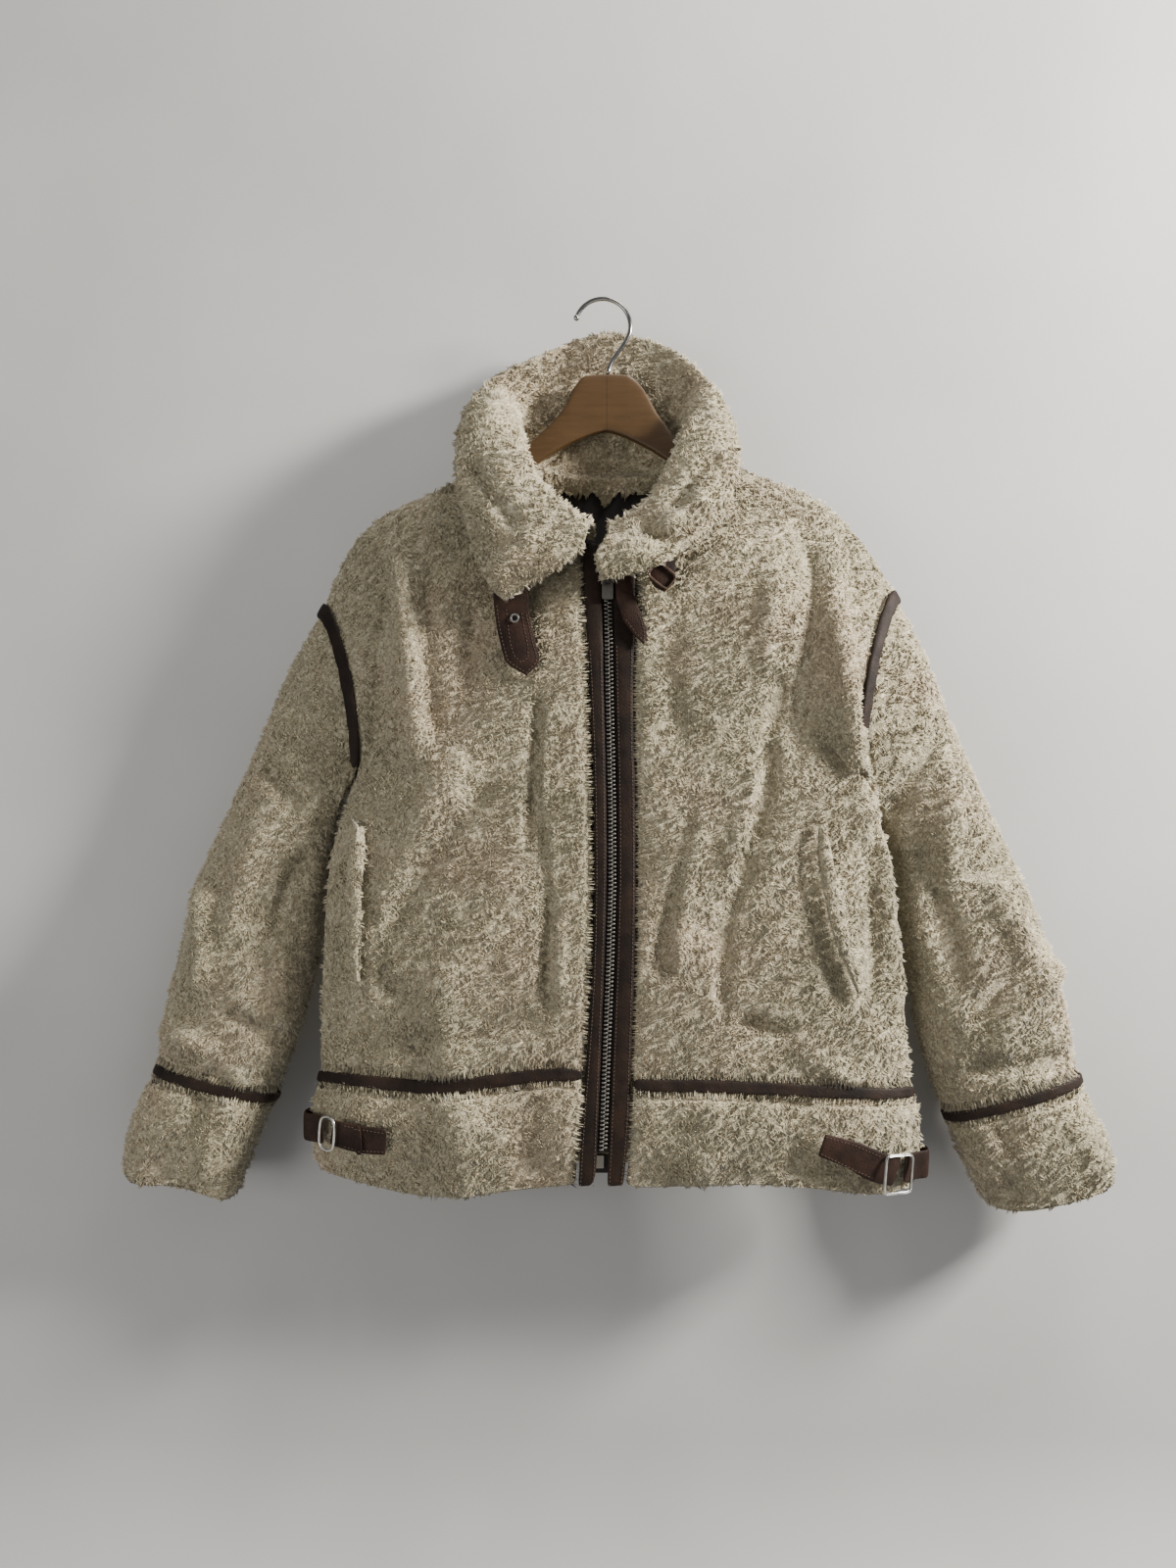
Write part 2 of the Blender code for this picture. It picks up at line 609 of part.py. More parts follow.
def add_edge_columns(points):
    """Two columns close to the side edge, at the groove's rim and at the pile's edge."""
    near, last = points[:, -2], points[:, -1]
    steps = np.linspace(0, 1, EDGE_TURN["steps"])
    new = np.zeros((len(points), 2, 3))
    for r in range(len(points)):
        bend = steps ** EDGE_TURN["full"]
        path = last[r] + (near[r] - last[r]) * np.stack([steps, bend, steps], axis=1)
        run = np.concatenate([[0], np.cumsum(np.linalg.norm(np.diff(path, axis=0), axis=1))])
        for k, (reach, most) in enumerate(((PILE_EDGE, EDGE_TURN["pile"]), (GROOVE, EDGE_TURN["groove"]))):
            reach = min(reach, run[-1] * most)
            new[r, k] = [np.interp(reach, run, path[:, axis]) for axis in range(3)]
    return np.concatenate([points[:, :-1], new, points[:, -1:]], axis=1)


def seam_frame(points, side, face):
    """The direction through the wall at each point of a half panel, and how far the pile drops there."""
    outward = np.zeros_like(points)
    outward[..., 1] = -1 if face == "front" else 1
    through = -normals(points, outward)
    rows, columns = points.shape[:2]
    drop = np.zeros((rows, columns))
    arm = rows - len(ARMHOLE_ANGLES) - 1
    # the side seam faces sideways
    tangent = np.gradient(points[: arm + 1, -1], axis=0)
    inward = np.stack([-tangent[:, 2], np.zeros(arm + 1), tangent[:, 0]], axis=1)
    inward *= -np.sign(inward[:, :1]) * math.copysign(1, points[0, -1, 0])
    through[: arm + 1, -1] = unit(inward)
    through[arm:, -1] = armhole_inward(side, points[arm:, -1])
    below_arm = arm - 1
    through[below_arm:, -3] = unit(through[below_arm:, -4] * 3 + through[below_arm:, -1])
    through[below_arm:, -2] = unit(through[below_arm:, -4] + through[below_arm:, -1] * 2)
    # the top edge faces down, and the shoulder's ridge is round
    top = points[-1]
    run = np.gradient(top, axis=0)
    down = np.stack([run[:, 2], np.zeros(columns), -run[:, 0]], axis=1)
    down *= -np.sign(down[:, 2:])
    on_shoulder = np.abs(top[:, 1]) < 0.5
    through[-1, on_shoulder] = unit(down[on_shoulder])
    through[-1, np.argmax(on_shoulder)] = unit(np.array((-math.copysign(NECK_POINT_LEAN, points[-1, -1, 0]), 0, -1)))
    through[-1, -1] = armhole_inward(side, points[-1:, -1])[0]
    drop[:, -1] = SIDE_SEAM_DROP
    drop[:, -2] = 1.0
    drop[arm - 1 :, -1] = SEAM_DROP
    drop[arm - 1 :, -2] = SEAM_DROP
    drop[:2] = SEAM_DROP
    drop[-1, on_shoulder] = SIDE_SEAM_DROP
    drop[-1, -2:] = SEAM_DROP
    if face == "front":
        drop[:, 0] = PLACKET_LEVEL
    return through, drop


def body_panels():
    """The back and the two fronts, as a dictionary of their grids."""
    grids = {}
    for face in ("front", "back"):
        for side in ("left", "right"):
            points = half_panel(face, side, NECK_COLUMNS[face][side] + SHOULDER_COLUMNS[side])
            through, drop = seam_frame(points, side, face)
            grids[face, side] = (points, through, drop)
    both = []
    for k in range(3):
        left, right = grids["back", "left"][k], grids["back", "right"][k]
        joined = np.concatenate([left[:, ::-1], right[:, 1:]], axis=1)
        both.append(joined)
    middle = grids["back", "left"][0].shape[1] - 1
    outward = np.zeros_like(both[0])
    outward[..., 1] = 1
    both[1][:-1, middle] = -normals(both[0], outward)[:-1, middle]
    both[1][-1, middle] = (0, -1, 0)
    grids["back"] = tuple(both)
    for name, key in (("front_left", ("front", "left")), ("front_right", ("front", "right")), ("back", "back")):
        points, through, drop = grids[key]
        outer = open_seams(points + through * drop[..., None])
        arm = len(points) - len(ARMHOLE_ANGLES)
        inner = open_seams(keep_apart(points, points + through * FLEECE_WALL, key, arm))
        wall(name, outer, inner, FLEECE)
    return grids


def keep_apart(points, inner, key, rows):
    """Holds a panel's inner skin on its own side of the side seams, where front and back come together."""
    made = inner.copy()
    sign = 1 if key == "back" else -1
    sides = (0, -1) if key == "back" else (-1,)
    for side in sides:
        seam_y = points[:rows, side, 1]
        seam_x = inner[:rows, side, 0]
        near = range(1, 5) if side == 0 else range(points.shape[1] - 5, points.shape[1] - 1)
        for c in near:
            least = SIDE_HOLLOW + SIDE_SLOPE * np.abs(made[:rows, c, 0] - seam_x)
            made[:rows, c, 1] = seam_y + sign * np.maximum(sign * (made[:rows, c, 1] - seam_y), least)
    return made


def hem_bands(grids):
    """The bands below the hem seam, whose upper edges are the body's lower edges."""
    made = {}
    for name, key, face in (
        ("hem_front_left", ("front", "left"), "front"),
        ("hem_front_right", ("front", "right"), "front"),
        ("hem_back", "back", "back"),
    ):
        points, through, _ = grids[key]
        top, inward = points[0], through[0]
        low_z = read(HEM_EDGE, "x", top[:, 0], "z")
        rows, ins = [], []
        for part in HEM_ROWS["part"]:
            row = top.copy()
            row[:, 2] = top[:, 2] + (low_z - top[:, 2]) * part
            row[:, 0] *= 1 + HEM_SPREAD[face] * part
            if face == "front":
                row[0, 0] = middle_of(face, "left" if "left" in name else "right", row[0, 2])
            swell = HEM_SWELL[face] * math.sin(math.pi * min(1, part * 1.1)) ** 0.7
            rows.append(row - inward * swell)
            ins.append(inward)
        band, way = np.array(rows), np.array(ins)
        drop_rows = HEM_ROWS["drop"][:, None] * np.ones(len(top))
        if face == "front":
            drop_rows[:, 0] = np.maximum(drop_rows[:, 0], PLACKET_LEVEL)
        outer = open_seams(band + way * drop_rows[..., None])
        inner = band + way * (FLEECE_WALL * HEM_ROWS["thick"])[:, None, None]
        inner = open_seams(keep_apart(band, inner, key, len(band)))
        wall(name, outer, inner, FLEECE)
        made[key] = (band, way, drop_rows)
    return made


def ring(rows, s):
    """One ring of a sleeve or cuff, as points in the order of the armhole's points."""
    xo, zo, xi, zi, y, half = read(rows, "s", s, "xo", "zo", "xi", "zi", "y", "half")
    front = np.radians([180.0] + list(ARMHOLE_ANGLES))
    angle = np.concatenate([front, -front[::-1][1:-1]])
    centre = np.array(((xo + xi) / 2, y, (zo + zi) / 2))
    reach = np.array(((xo - xi) / 2, 0, (zo - zi) / 2))
    cos, sin = np.cos(angle), np.sin(angle)
    flat = np.sign(cos) * np.abs(cos) ** RING_SQUARE["wide"]
    deep = np.sign(sin) * np.abs(sin) ** RING_SQUARE["deep"]
    return centre + reach * flat[:, None] + np.array((0.0, -half, 0.0)) * deep[:, None], angle


def armhole_ring(grids, side):
    """The armhole's seam points from the underarm round the front, over the shoulder and down the back."""
    front = grids["front", side][0][:, -1]
    back = grids["back", side][0][:, -1]
    arm = len(front) - len(ARMHOLE_ANGLES) - 1
    loop = np.concatenate([front[arm:], back[arm + 1 : -1][::-1]])
    ways = armhole_inward(side, loop)
    return loop, ways


def sleeve_folds(rows, s, angle):
    height = np.zeros_like(angle)
    degrees = np.degrees(angle) % 360
    for s0, at, slant, ds, da, tall in zip(*rows.values()):
        turn = (degrees - at + 180) % 360 - 180
        height += tall * np.exp(-(((s - s0 - slant * turn) / ds) ** 2) - (turn / da) ** 2)
    return height


def tube_ways(points, seam_way=None):
    """Directions through a tube's wall, towards its inside."""
    centre = points.mean(axis=1, keepdims=True)
    ways = -normals(points, points - centre, loop=True)
    if seam_way is not None:
        ways[0] = seam_way
    return ways


def sleeves(grids):
    ends = {}
    for side in ("left", "right"):
        seam, seam_way = armhole_ring(grids, side)
        plain = SLEEVE[side]
        rings = []
        for s in SLEEVE_STEPS:
            points, angle = ring(plain, s)
            start, _ = ring(plain, 0)
            points = points + (seam - start) * max(0.0, 1 - s / ARMHOLE_REACH) ** 2
            centre = points.mean(axis=0)
            points = points + unit(points - centre) * sleeve_folds(SLEEVE_FOLDS[side], s, angle)[:, None]
            rings.append(points)
        last, _ = ring(plain, plain["s"].max())
        start = [seam + unit(rings[0] - seam) * reach for reach in (0.0, GROOVE, PILE_EDGE)]
        finish = [last + unit(rings[-1] - last) * reach for reach in (PILE_EDGE, GROOVE - 1, 0.0)]
        points = np.array(start + rings + finish)
        # the underarm's end of the tube stands a little off the body's side
        count = points.shape[1]
        from_underarm = np.minimum(np.arange(count), count - np.arange(count))
        sideways = math.copysign(UNDERARM_STAND_OFF, SHOULDER_POINT[side][0])
        points[1:3, :, 0] += sideways * np.exp(-((from_underarm / UNDERARM_POINTS) ** 2))
        ways = tube_ways(points, seam_way)
        ways[1] = unit(ways[0] + ways[1] * 2)
        drop = np.zeros(points.shape[:2])
        drop[[0, 1, -1, -2]] = SEAM_DROP
        outer = open_seams(points + ways * drop[..., None], loop=True, gap=ARMHOLE_GAP)
        inner = open_seams(points + ways * FLEECE_WALL, loop=True, gap=ARMHOLE_GAP)
        wall("sleeve_" + side, outer, inner, FLEECE, loop=True)
        ends[side] = (points, ways, drop)
    return ends


def cuffs(sleeve_grids):
    made = {}
    for side in ("left", "right"):
        sleeve_points, sleeve_ways, _ = sleeve_grids[side]
        seam, seam_way = sleeve_points[-1], sleeve_ways[-1]
        rings = []
        for s in CUFF_STEPS + (CUFF_END,):
            points, angle = ring(CUFF[side], s)
            degrees = np.degrees(angle) % 360
            for at, width, low in zip(*CUFF_LOBES[side].values()):
                turn = (degrees - at + 180) % 360 - 180
                points[:, 2] -= low * (s / CUFF_END) ** 3 * np.exp(-((turn / width) ** 2))
            rings.append(points)
        start = [seam + unit(rings[0] - seam) * reach for reach in (0.0, GROOVE - 1, PILE_EDGE)]
        points = np.array(start + rings)
        ways = tube_ways(points, seam_way)
        drop = np.zeros(points.shape[:2])
        drop[[0, 1]] = SEAM_DROP
        drop[-1] = CUFF_DROP["edge"]
        drop[-2] = CUFF_DROP["near"]
        thick = np.full(len(points), FLEECE_WALL + CUFF_EXTRA)
        thick[:2] = FLEECE_WALL
        thick[-1] = FLEECE_WALL - CUFF_EXTRA
        outer = open_seams(points + ways * drop[..., None], loop=True)
        inner = open_seams(points + ways * thick[:, None, None], loop=True)
        wall("cuff_" + side, outer, inner, FLEECE, loop=True)
        made[side] = (points, ways, drop)
    return made


def band_on(name, lines, ways, finish, loop=False):
    """A strip that lies on three lines of a panel's points, moved out."""
    rows = np.array([line - way * LIFT for line, way in zip(lines, ways)])
    out = np.array([-way for way in ways])
    top = rows + out * LEATHER
    top[1] += out[1] * BAND_CROWN
    rows, top = open_seams(rows, loop, BAND_GAP), open_seams(top, loop, BAND_GAP)
    return wall(name, top, rows, finish, loop=loop)


def bindings(grids, hems, sleeve_grids, cuff_grids):
    for name, key in (
        ("hem_binding_front_left", ("front", "left")),
        ("hem_binding_front_right", ("front", "right")),
        ("hem_binding_back", "back"),
    ):
        points, ways, drop = grids[key]
        band, band_ways, band_drop = hems[key]
        pairs = ((points, ways, drop, 1), (points, ways, drop, 0), (band, band_ways, band_drop, 1))
        lines, directions = [], []
        for grid, way, low, row in pairs:
            lines.append(grid[row] + way[row] * low[row][:, None])
            directions.append(way[row])
        band_on(name, lines, directions, BROWN_LEATHER)
    for side in ("left", "right"):
        arm_binding(grids, sleeve_grids, side)
        upper, upper_ways, _ = sleeve_grids[side]
        lower, lower_ways, _ = cuff_grids[side]
        lines = [
            upper[-2] + upper_ways[-2] * SEAM_DROP,
            upper[-1] + upper_ways[-1] * SEAM_DROP,
            lower[1] + lower_ways[1] * SEAM_DROP,
        ]
        directions = [upper_ways[-2], upper_ways[-1], lower_ways[1]]
        band_on("cuff_binding_" + side, lines, directions, BROWN_LEATHER, loop=True)


def arm_binding(grids, sleeve_grids, side):
    """The strip over the armhole seam, whose two ends lie under the arm."""
    seam, seam_way = armhole_ring(grids, side)
    order = list(range(len(seam))) + [0]
    lines, ways = [], []
    for face in ("front", "back"):
        points, through, _ = grids[face, side]
        arm = len(points) - len(ARMHOLE_ANGLES) - 1
        line, way = points[arm:, -2], through[arm:, -2]
        if face == "back":
            line, way = line[:-1][::-1], way[:-1][::-1]
        lines.append(line)
        ways.append(way)
    tube, tube_way, _ = sleeve_grids[side]
    rows = ((np.concatenate(lines), np.concatenate(ways)), (seam[order], seam_way[order]),
            (tube[1][order], tube_way[1][order]))
    band_on("armhole_binding_" + side, [(line + way * SEAM_DROP)[2:-2] for line, way in rows],
            [way[2:-2] for _, way in rows], BROWN_LEATHER)


def collar(grids):
    """The double-faced collar: a stand that rises from the neck seam, rolls over and falls as a leaf."""
    neck = neck_seam(grids)
    stations = np.arange(0, len(neck["outer"]) - 1 + COLLAR_STEP / 2, COLLAR_STEP)
    index = np.arange(len(neck["outer"]))
    base_out = np.stack([np.interp(stations, index, neck["outer"][:, a]) for a in range(3)], axis=1)
    base_in = np.stack([np.interp(stations, index, neck["inner"][:, a]) for a in range(3)], axis=1)
    roll = np.stack(read(COLLAR, "n", stations, "rx", "ry", "rz"), axis=1)
    leaf = np.stack(read(COLLAR, "n", stations, "lx", "ly", "lz"), axis=1)
    edge = np.stack(read(COLLAR, "n", stations, "ex", "ey", "ez"), axis=1)
    base = (base_out + base_in) / 2
    up = np.stack([np.interp(stations, index, neck["up"][:, a]) for a in range(3)], axis=1)
    up = unit(up)
    for neck_point in NECK_POINT_STATIONS:
        rise = NECK_POINT_RISE * np.exp(-(((stations - neck_point) / NECK_POINT_SPREAD) ** 2))[:, None]
        base, base_out, base_in = base + up * rise, base_out + up * rise, base_in + up * rise
    anchors = np.array([base, base + up * COLLAR_FOOT, roll, leaf, edge])
    middle = []
    for t in COLLAR_PROFILE:
        middle.append(through_points(anchors, t))
    middle = np.array(middle)
    along = np.gradient(middle, axis=0)
    across = np.gradient(middle, axis=1)
    facing = unit(np.cross(along, across))
    flip = np.sign((facing[0] * (base_out - base_in)).sum(axis=1))
    facing *= np.median(flip)
    half = COLLAR_WALL / 2 * np.array(COLLAR_SWELL)
    outer = middle + facing * half[:, None, None]
    inner = middle - facing * half[:, None, None]
    outer[0], inner[0] = base_out, base_in
    tip = unit(middle[-1] - middle[-2])
    near = middle[-1] + tip * COLLAR_WALL * COLLAR_RIM["near"]
    rim = facing[-1] * COLLAR_WALL * COLLAR_RIM["half"]
    end = middle[-1] + tip * COLLAR_WALL * COLLAR_RIM["tip"]
    outer = np.concatenate([outer, [near + rim]])
    inner = np.concatenate([inner, [near - rim]])
    profile = np.concatenate([outer, [end], inner[::-1]])
    closed_sweep("collar", profile, FLEECE)


def through_points(anchors, t):
    """A smooth curve through the anchors, one unit of t between neighbours."""
    last = len(anchors) - 2
    i = min(int(t), last)
    u = t - i
    a, b = anchors[i], anchors[i + 1]
    before = anchors[i - 1] if i > 0 else a - (b - a)
    after = anchors[i + 2] if i < last else b + (b - a)
    slope_a, slope_b = (b - before) / 2, (after - a) / 2
    return (
        a * (2 * u**3 - 3 * u**2 + 1) + slope_a * (u**3 - 2 * u**2 + u)
        + b * (3 * u**2 - 2 * u**3) + slope_b * (u**3 - u**2)
    )


def closed_sweep(name, profile, finish):
    """A solid whose first axis runs round a closed section, and whose second runs along it."""
    bm = bmesh.new()
    n, m = profile.shape[:2]
    verts = [[bm.verts.new(p) for p in row] for row in profile]
    for r in range(n):
        q = (r + 1) % n
        for c in range(m - 1):
            bm.faces.new((verts[r][c], verts[r][c + 1], verts[q][c + 1], verts[q][c]))
    for c in (0, m - 1):
        for r in range(n // 2):
            q = n - 1 - r
            if q - r == 2:
                bm.faces.new((verts[r][c], verts[r + 1][c], verts[q][c]))
            elif q > r + 1:
                bm.faces.new((verts[r][c], verts[r + 1][c], verts[q - 1][c], verts[q][c]))
    return add_object(name, bm, finish)


def neck_seam(grids):
    """The collar's foot: the neck edges of the fronts and the back, raised clear of them."""
    outer, inner = [], []
    columns = {"front": 5, "back": 4}
    left, right, back = grids["front", "left"], grids["front", "right"], grids["back"]
    middle = back[0].shape[1] // 2
    parts = (
        (left, list(range(columns["front"]))),
        (back, list(range(middle - 2, middle + 3))),
        (right, list(range(columns["front"]))[::-1]),
    )
    for grid, picked in parts:
        points, ways, drop = grid
        for c in picked:
            outer.append(points[-1, c] + ways[-1, c] * drop[-1, c])
            inner.append(points[-1, c] + ways[-1, c] * FLEECE_WALL)
    left_end, right_end = np.array(COLLAR_ENDS["left"]), np.array(COLLAR_ENDS["right"])
    outer = [outer[0] + left_end] + outer + [outer[-1] + right_end]
    inner = [inner[0] + left_end] + inner + [inner[-1] + right_end]
    outer, inner = np.array(outer), np.array(inner)
    along = unit(np.gradient((outer + inner) / 2, axis=0))
    up = unit(np.cross(along, outer - inner))
    up *= np.sign((up * (np.array(NECK_CENTRE) - outer)).sum(axis=1, keepdims=True))
    return {"outer": outer + up * LIFT, "inner": inner + up * LIFT, "up": up}


def placket_grid(grids, side):
    """Points of a leather placket from the hem's edge to the neck, on the front's own curve."""
    points = grids["front", side][0]
    hem_z = np.linspace(PLACKET_HEM["low"], PLACKET_HEM["high"], PLACKET_HEM["rows"])
    z = np.concatenate([hem_z, points[1:, 0, 2]])
    z[-1] = points[-1, 0, 2] - PLACKET_GAP["neck"]
    edge_x = read(PLACKET_EDGE[side], "z", z, "x")
    zip_x = read(ZIP_LINE, "z", z, "x")
    sign = 1 if side == "right" else -1
    start = zip_x + (CHAIN_WIDTH / 2 + PLACKET_GAP["zip"]) * sign
    end = edge_x - PLACKET_GAP["edge"] * sign
    y = front_level(z)
    rows = []
    for part, rise in zip(*PLACKET_SECTION.values()):
        rows.append(np.stack([start + (end - start) * part, y - rise, z], axis=1))
    return np.array(rows).transpose(1, 0, 2)


def front_level(z):
    """The depth of the plackets' skin down the front's middle."""
    deep = read(CHEST_DEPTH["front"], "z", z, "y")
    near_top = np.clip((z - FRONT_TOP["z"]) / FRONT_TOP["long"], 0, 1)
    in_hem = np.clip((FRONT_HEM["z"] - z) / FRONT_HEM["long"], 0, 1)
    swell = HEM_SWELL["front"] * FRONT_HEM["share"] * in_hem
    level = deep * (1 - near_top) + FRONT_TOP["y"] * near_top
    return level - swell + PLACKET_LEVEL


def zip_parts(grids):
    for side in ("left", "right"):
        outer = placket_grid(grids, side)
        inner = outer.copy()
        inner[..., 1] = front_level(outer[:, 0, 2])[:, None] + LEATHER
        wall("placket_" + side, outer, inner, BROWN_LEATHER)
        sign = 1 if side == "right" else -1
        z = outer[1:, 0, 2].copy()
        level = front_level(z) + LEATHER + ZIP_TAPE["behind"]
        zip_x = read(ZIP_LINE, "z", z, "x")
        rows = np.array([
            np.stack([zip_x + sign * reach, level, z], axis=1) for reach in ZIP_TAPE["reach"]
        ]).transpose(1, 0, 2)
        behind = rows + np.array((0, ZIP_TAPE["thick"], 0))
        wall("zip_tape_" + side, rows, behind, DARK_CLOTH)
    z = placket_grid(grids, "left")[1:-1, 0, 2]
    level = front_level(z)
    zip_x = read(ZIP_LINE, "z", z, "x")
    half = CHAIN_WIDTH / 2
    rows = np.array([
        np.stack([zip_x + half * part, level - rise, z], axis=1)
        for part, rise in zip(*CHAIN_SECTION.values())
    ]).transpose(1, 0, 2)
    behind = rows.copy()
    behind[..., 1] = (level + LEATHER)[:, None]
    wall("zip_chain", rows, behind, STEEL)


def plate(name, outline, front, thick, finish, lean=None):
    """A flat piece from its outline seen from the front. Lean gives its depth at each point instead."""
    bm = bmesh.new()
    depth = [lean(x, z) if lean else front for x, z in outline]
    face = bm.faces.new([bm.verts.new((x, y, z)) for (x, z), y in zip(outline, depth)])
    moved = bmesh.ops.extrude_face_region(bm, geom=[face])
    verts = [v for v in moved["geom"] if isinstance(v, bmesh.types.BMVert)]
    bmesh.ops.translate(bm, vec=(0, thick, 0), verts=verts)
    bmesh.ops.triangulate(bm, faces=[f for f in bm.faces if len(f.verts) > 4])
    return add_object(name, bm, finish, smooth=35)


def block(name, centre, size, bevel=0.0, upright_only=False, segments=2):
    """A box with bevelled edges, all of them or only those of its outline seen from the front."""
    bm = bmesh.new()
    made = bmesh.ops.create_cube(bm, size=1)
    bmesh.ops.scale(bm, vec=size, verts=made["verts"])
    bmesh.ops.translate(bm, vec=centre, verts=made["verts"])
    edges = [e for e in bm.edges if not upright_only or abs(e.verts[0].co.y - e.verts[1].co.y) > size[1] / 2]
    if bevel:
        bmesh.ops.bevel(bm, geom=edges, offset=bevel, segments=segments, profile=0.5, affect="EDGES", material=-1)
    return add_object(name, bm, STEEL)


def apply_tool(body, tool, operation):
    """Cuts a tool from a body, or joins it on, and keeps the tool out of the part."""
    cut = body.modifiers.new(tool.name, "BOOLEAN")
    cut.operation = operation
    cut.object = tool
    tool.hide_render = True
    tool.display_type = "WIRE"


def slider_and_tab():
    """The slider's body with its bridge, and the pull tab that hangs on the bridge."""
    z = SLIDER["z"]
    x = float(read(ZIP_LINE, "z", z, "x"))
    face = float(front_level(np.array(z))) - SLIDER["seat"]
    front = face - SLIDER["deep"]
    body = block("zip_slider", (x, (face + front) / 2, z), (SLIDER["wide"], SLIDER["deep"], SLIDER["high"]),
                 SLIDER["bevel"])
    bridge_y = front - BRIDGE["deep"] / 2 + BRIDGE["sunk"]
    post = block("slider_bridge_cutter", (x, bridge_y, z), (BRIDGE["wide"], BRIDGE["deep"], BRIDGE["high"]))
    apply_tool(body, post, "UNION")
    slot = block("slider_slot_cutter", (x, front - BRIDGE["slot_out"], z),
                 (BRIDGE["slot_wide"], BRIDGE["slot_deep"], BRIDGE["slot_high"]))
    apply_tool(body, slot, "DIFFERENCE")
    tab = PULL_TAB
    tab_y = front - tab["out"]
    pull = block("zip_pull_tab", (x, tab_y, z - tab["high"] / 2 + tab["above"]),
                 (tab["wide"], tab["thick"], tab["high"]), tab["corner"], upright_only=True, segments=3)
    hole = block("tab_hole_cutter", (x, tab_y, z - tab["rim"] - tab["hole_high"] / 2),
                 (tab["hole_wide"], tab["thick"] * 5, tab["hole_high"]))
    apply_tool(pull, hole, "DIFFERENCE")


def torus_ring(name, centre, turn, wide, high, wire, finish, corner=3.0, lean=None, sides=8):
    """A closed frame of round wire: a rounded rectangle in the plane seen from the front."""
    steps = []
    for cx, cz, start in ((1, 1, 0), (-1, 1, 90), (-1, -1, 180), (1, -1, 270)):
        for k in range(3):
            a = math.radians(start + 45 * k)
            steps.append((cx * (wide / 2 - corner) + corner * math.cos(a),
                          cz * (high / 2 - corner) + corner * math.sin(a)))
    c, s = math.cos(math.radians(turn)), math.sin(math.radians(turn))
    path = []
    for x, z in steps:
        px, pz = centre[0] + c * x - s * z, centre[2] + s * x + c * z
        path.append((px, lean(px, pz) if lean else centre[1], pz))
    path = np.array(path)
    tangent = unit(np.roll(path, -1, axis=0) - np.roll(path, 1, axis=0))
    out = np.array((0, -1.0, 0))
    side = unit(np.cross(tangent, out))
    rows = []
    for k in range(sides):
        a = 2 * math.pi * k / sides
        rows.append(path + side * wire * math.cos(a) + out * wire * math.sin(a))
    bm = bmesh.new()
    verts = [[bm.verts.new(p) for p in row] for row in rows]
    n = len(path)
    for r in range(sides):
        q = (r + 1) % sides
        for k in range(n):
            j = (k + 1) % n
            bm.faces.new((verts[r][k], verts[r][j], verts[q][j], verts[q][k]))
    return add_object(name, bm, finish)


def strap_lean(side):
    """The depth of a collar strap's front at a height, which leans towards its tip."""
    spec = STRAP_LEAN[side]

    def lean(x, z):
        return spec["y"] + spec["lean"] * min(1.0, max(0.0, (spec["top"] - z) / spec["long"]))

    return lean


def collar_straps():
    left, right = strap_lean("left"), strap_lean("right")
    strap = plate("collar_strap_left", LEFT_STRAP, None, LEATHER, BROWN_LEATHER, left)
    eye_y = left(EYELET["x"], EYELET["z"])
    bm = bmesh.new()
    bmesh.ops.create_cone(bm, cap_ends=True, segments=EYELET["sides"], radius1=EYELET["hole"],
                          radius2=EYELET["hole"], depth=LEATHER * 8)
    bmesh.ops.rotate(bm, verts=bm.verts[:], cent=(0, 0, 0), matrix=Matrix.Rotation(math.pi / 2, 3, "X"))
    bmesh.ops.translate(bm, vec=(EYELET["x"], eye_y, EYELET["z"]), verts=bm.verts[:])
    apply_tool(strap, add_object("eyelet_punch", bm, STEEL), "DIFFERENCE")
    turned_ring("collar_strap_eyelet", (EYELET["x"], eye_y - EYELET["thick"] - EYELET["proud"], EYELET["z"]))
    plate("collar_strap_right", RIGHT_STRAP, None, LEATHER, BROWN_LEATHER, right)
    plate("collar_buckle_strap", BUCKLE_STRAP, BUCKLE_STRAP_Y, LEATHER, BROWN_LEATHER)
    b = COLLAR_BUCKLE
    buckle_y = BUCKLE_STRAP_Y - b["wire"] / 2 - b["proud"]
    torus_ring("collar_buckle", (b["x"], buckle_y, b["z"]), b["turn"], b["wide"], b["high"], b["wire"] / 2, STEEL)


def turned_ring(name, centre):
    """The eyelet: a flat ring in the plane seen from the front."""
    bm = bmesh.new()
    segments = EYELET["sides"]
    loops = []
    for radius, y in ((EYELET["outer"], EYELET["thick"]), (EYELET["outer"] - EYELET["bevel"], 0.0),
                      (EYELET["hole"] + EYELET["lip"], 0.0), (EYELET["hole"] - EYELET["seat"], EYELET["thick"])):
        loops.append([
            bm.verts.new((centre[0] + radius * math.cos(2 * math.pi * k / segments), centre[1] + y,
                          centre[2] + radius * math.sin(2 * math.pi * k / segments)))
            for k in range(segments)
        ])
    for r in range(4):
        q = (r + 1) % 4
        for k in range(segments):
            j = (k + 1) % segments
            bm.faces.new((loops[r][k], loops[r][j], loops[q][j], loops[q][k]))
    return add_object(name, bm, STEEL)


def outer_skin(*grids):
    return Skin(*[points + ways * drop[..., None] for points, ways, drop in grids])


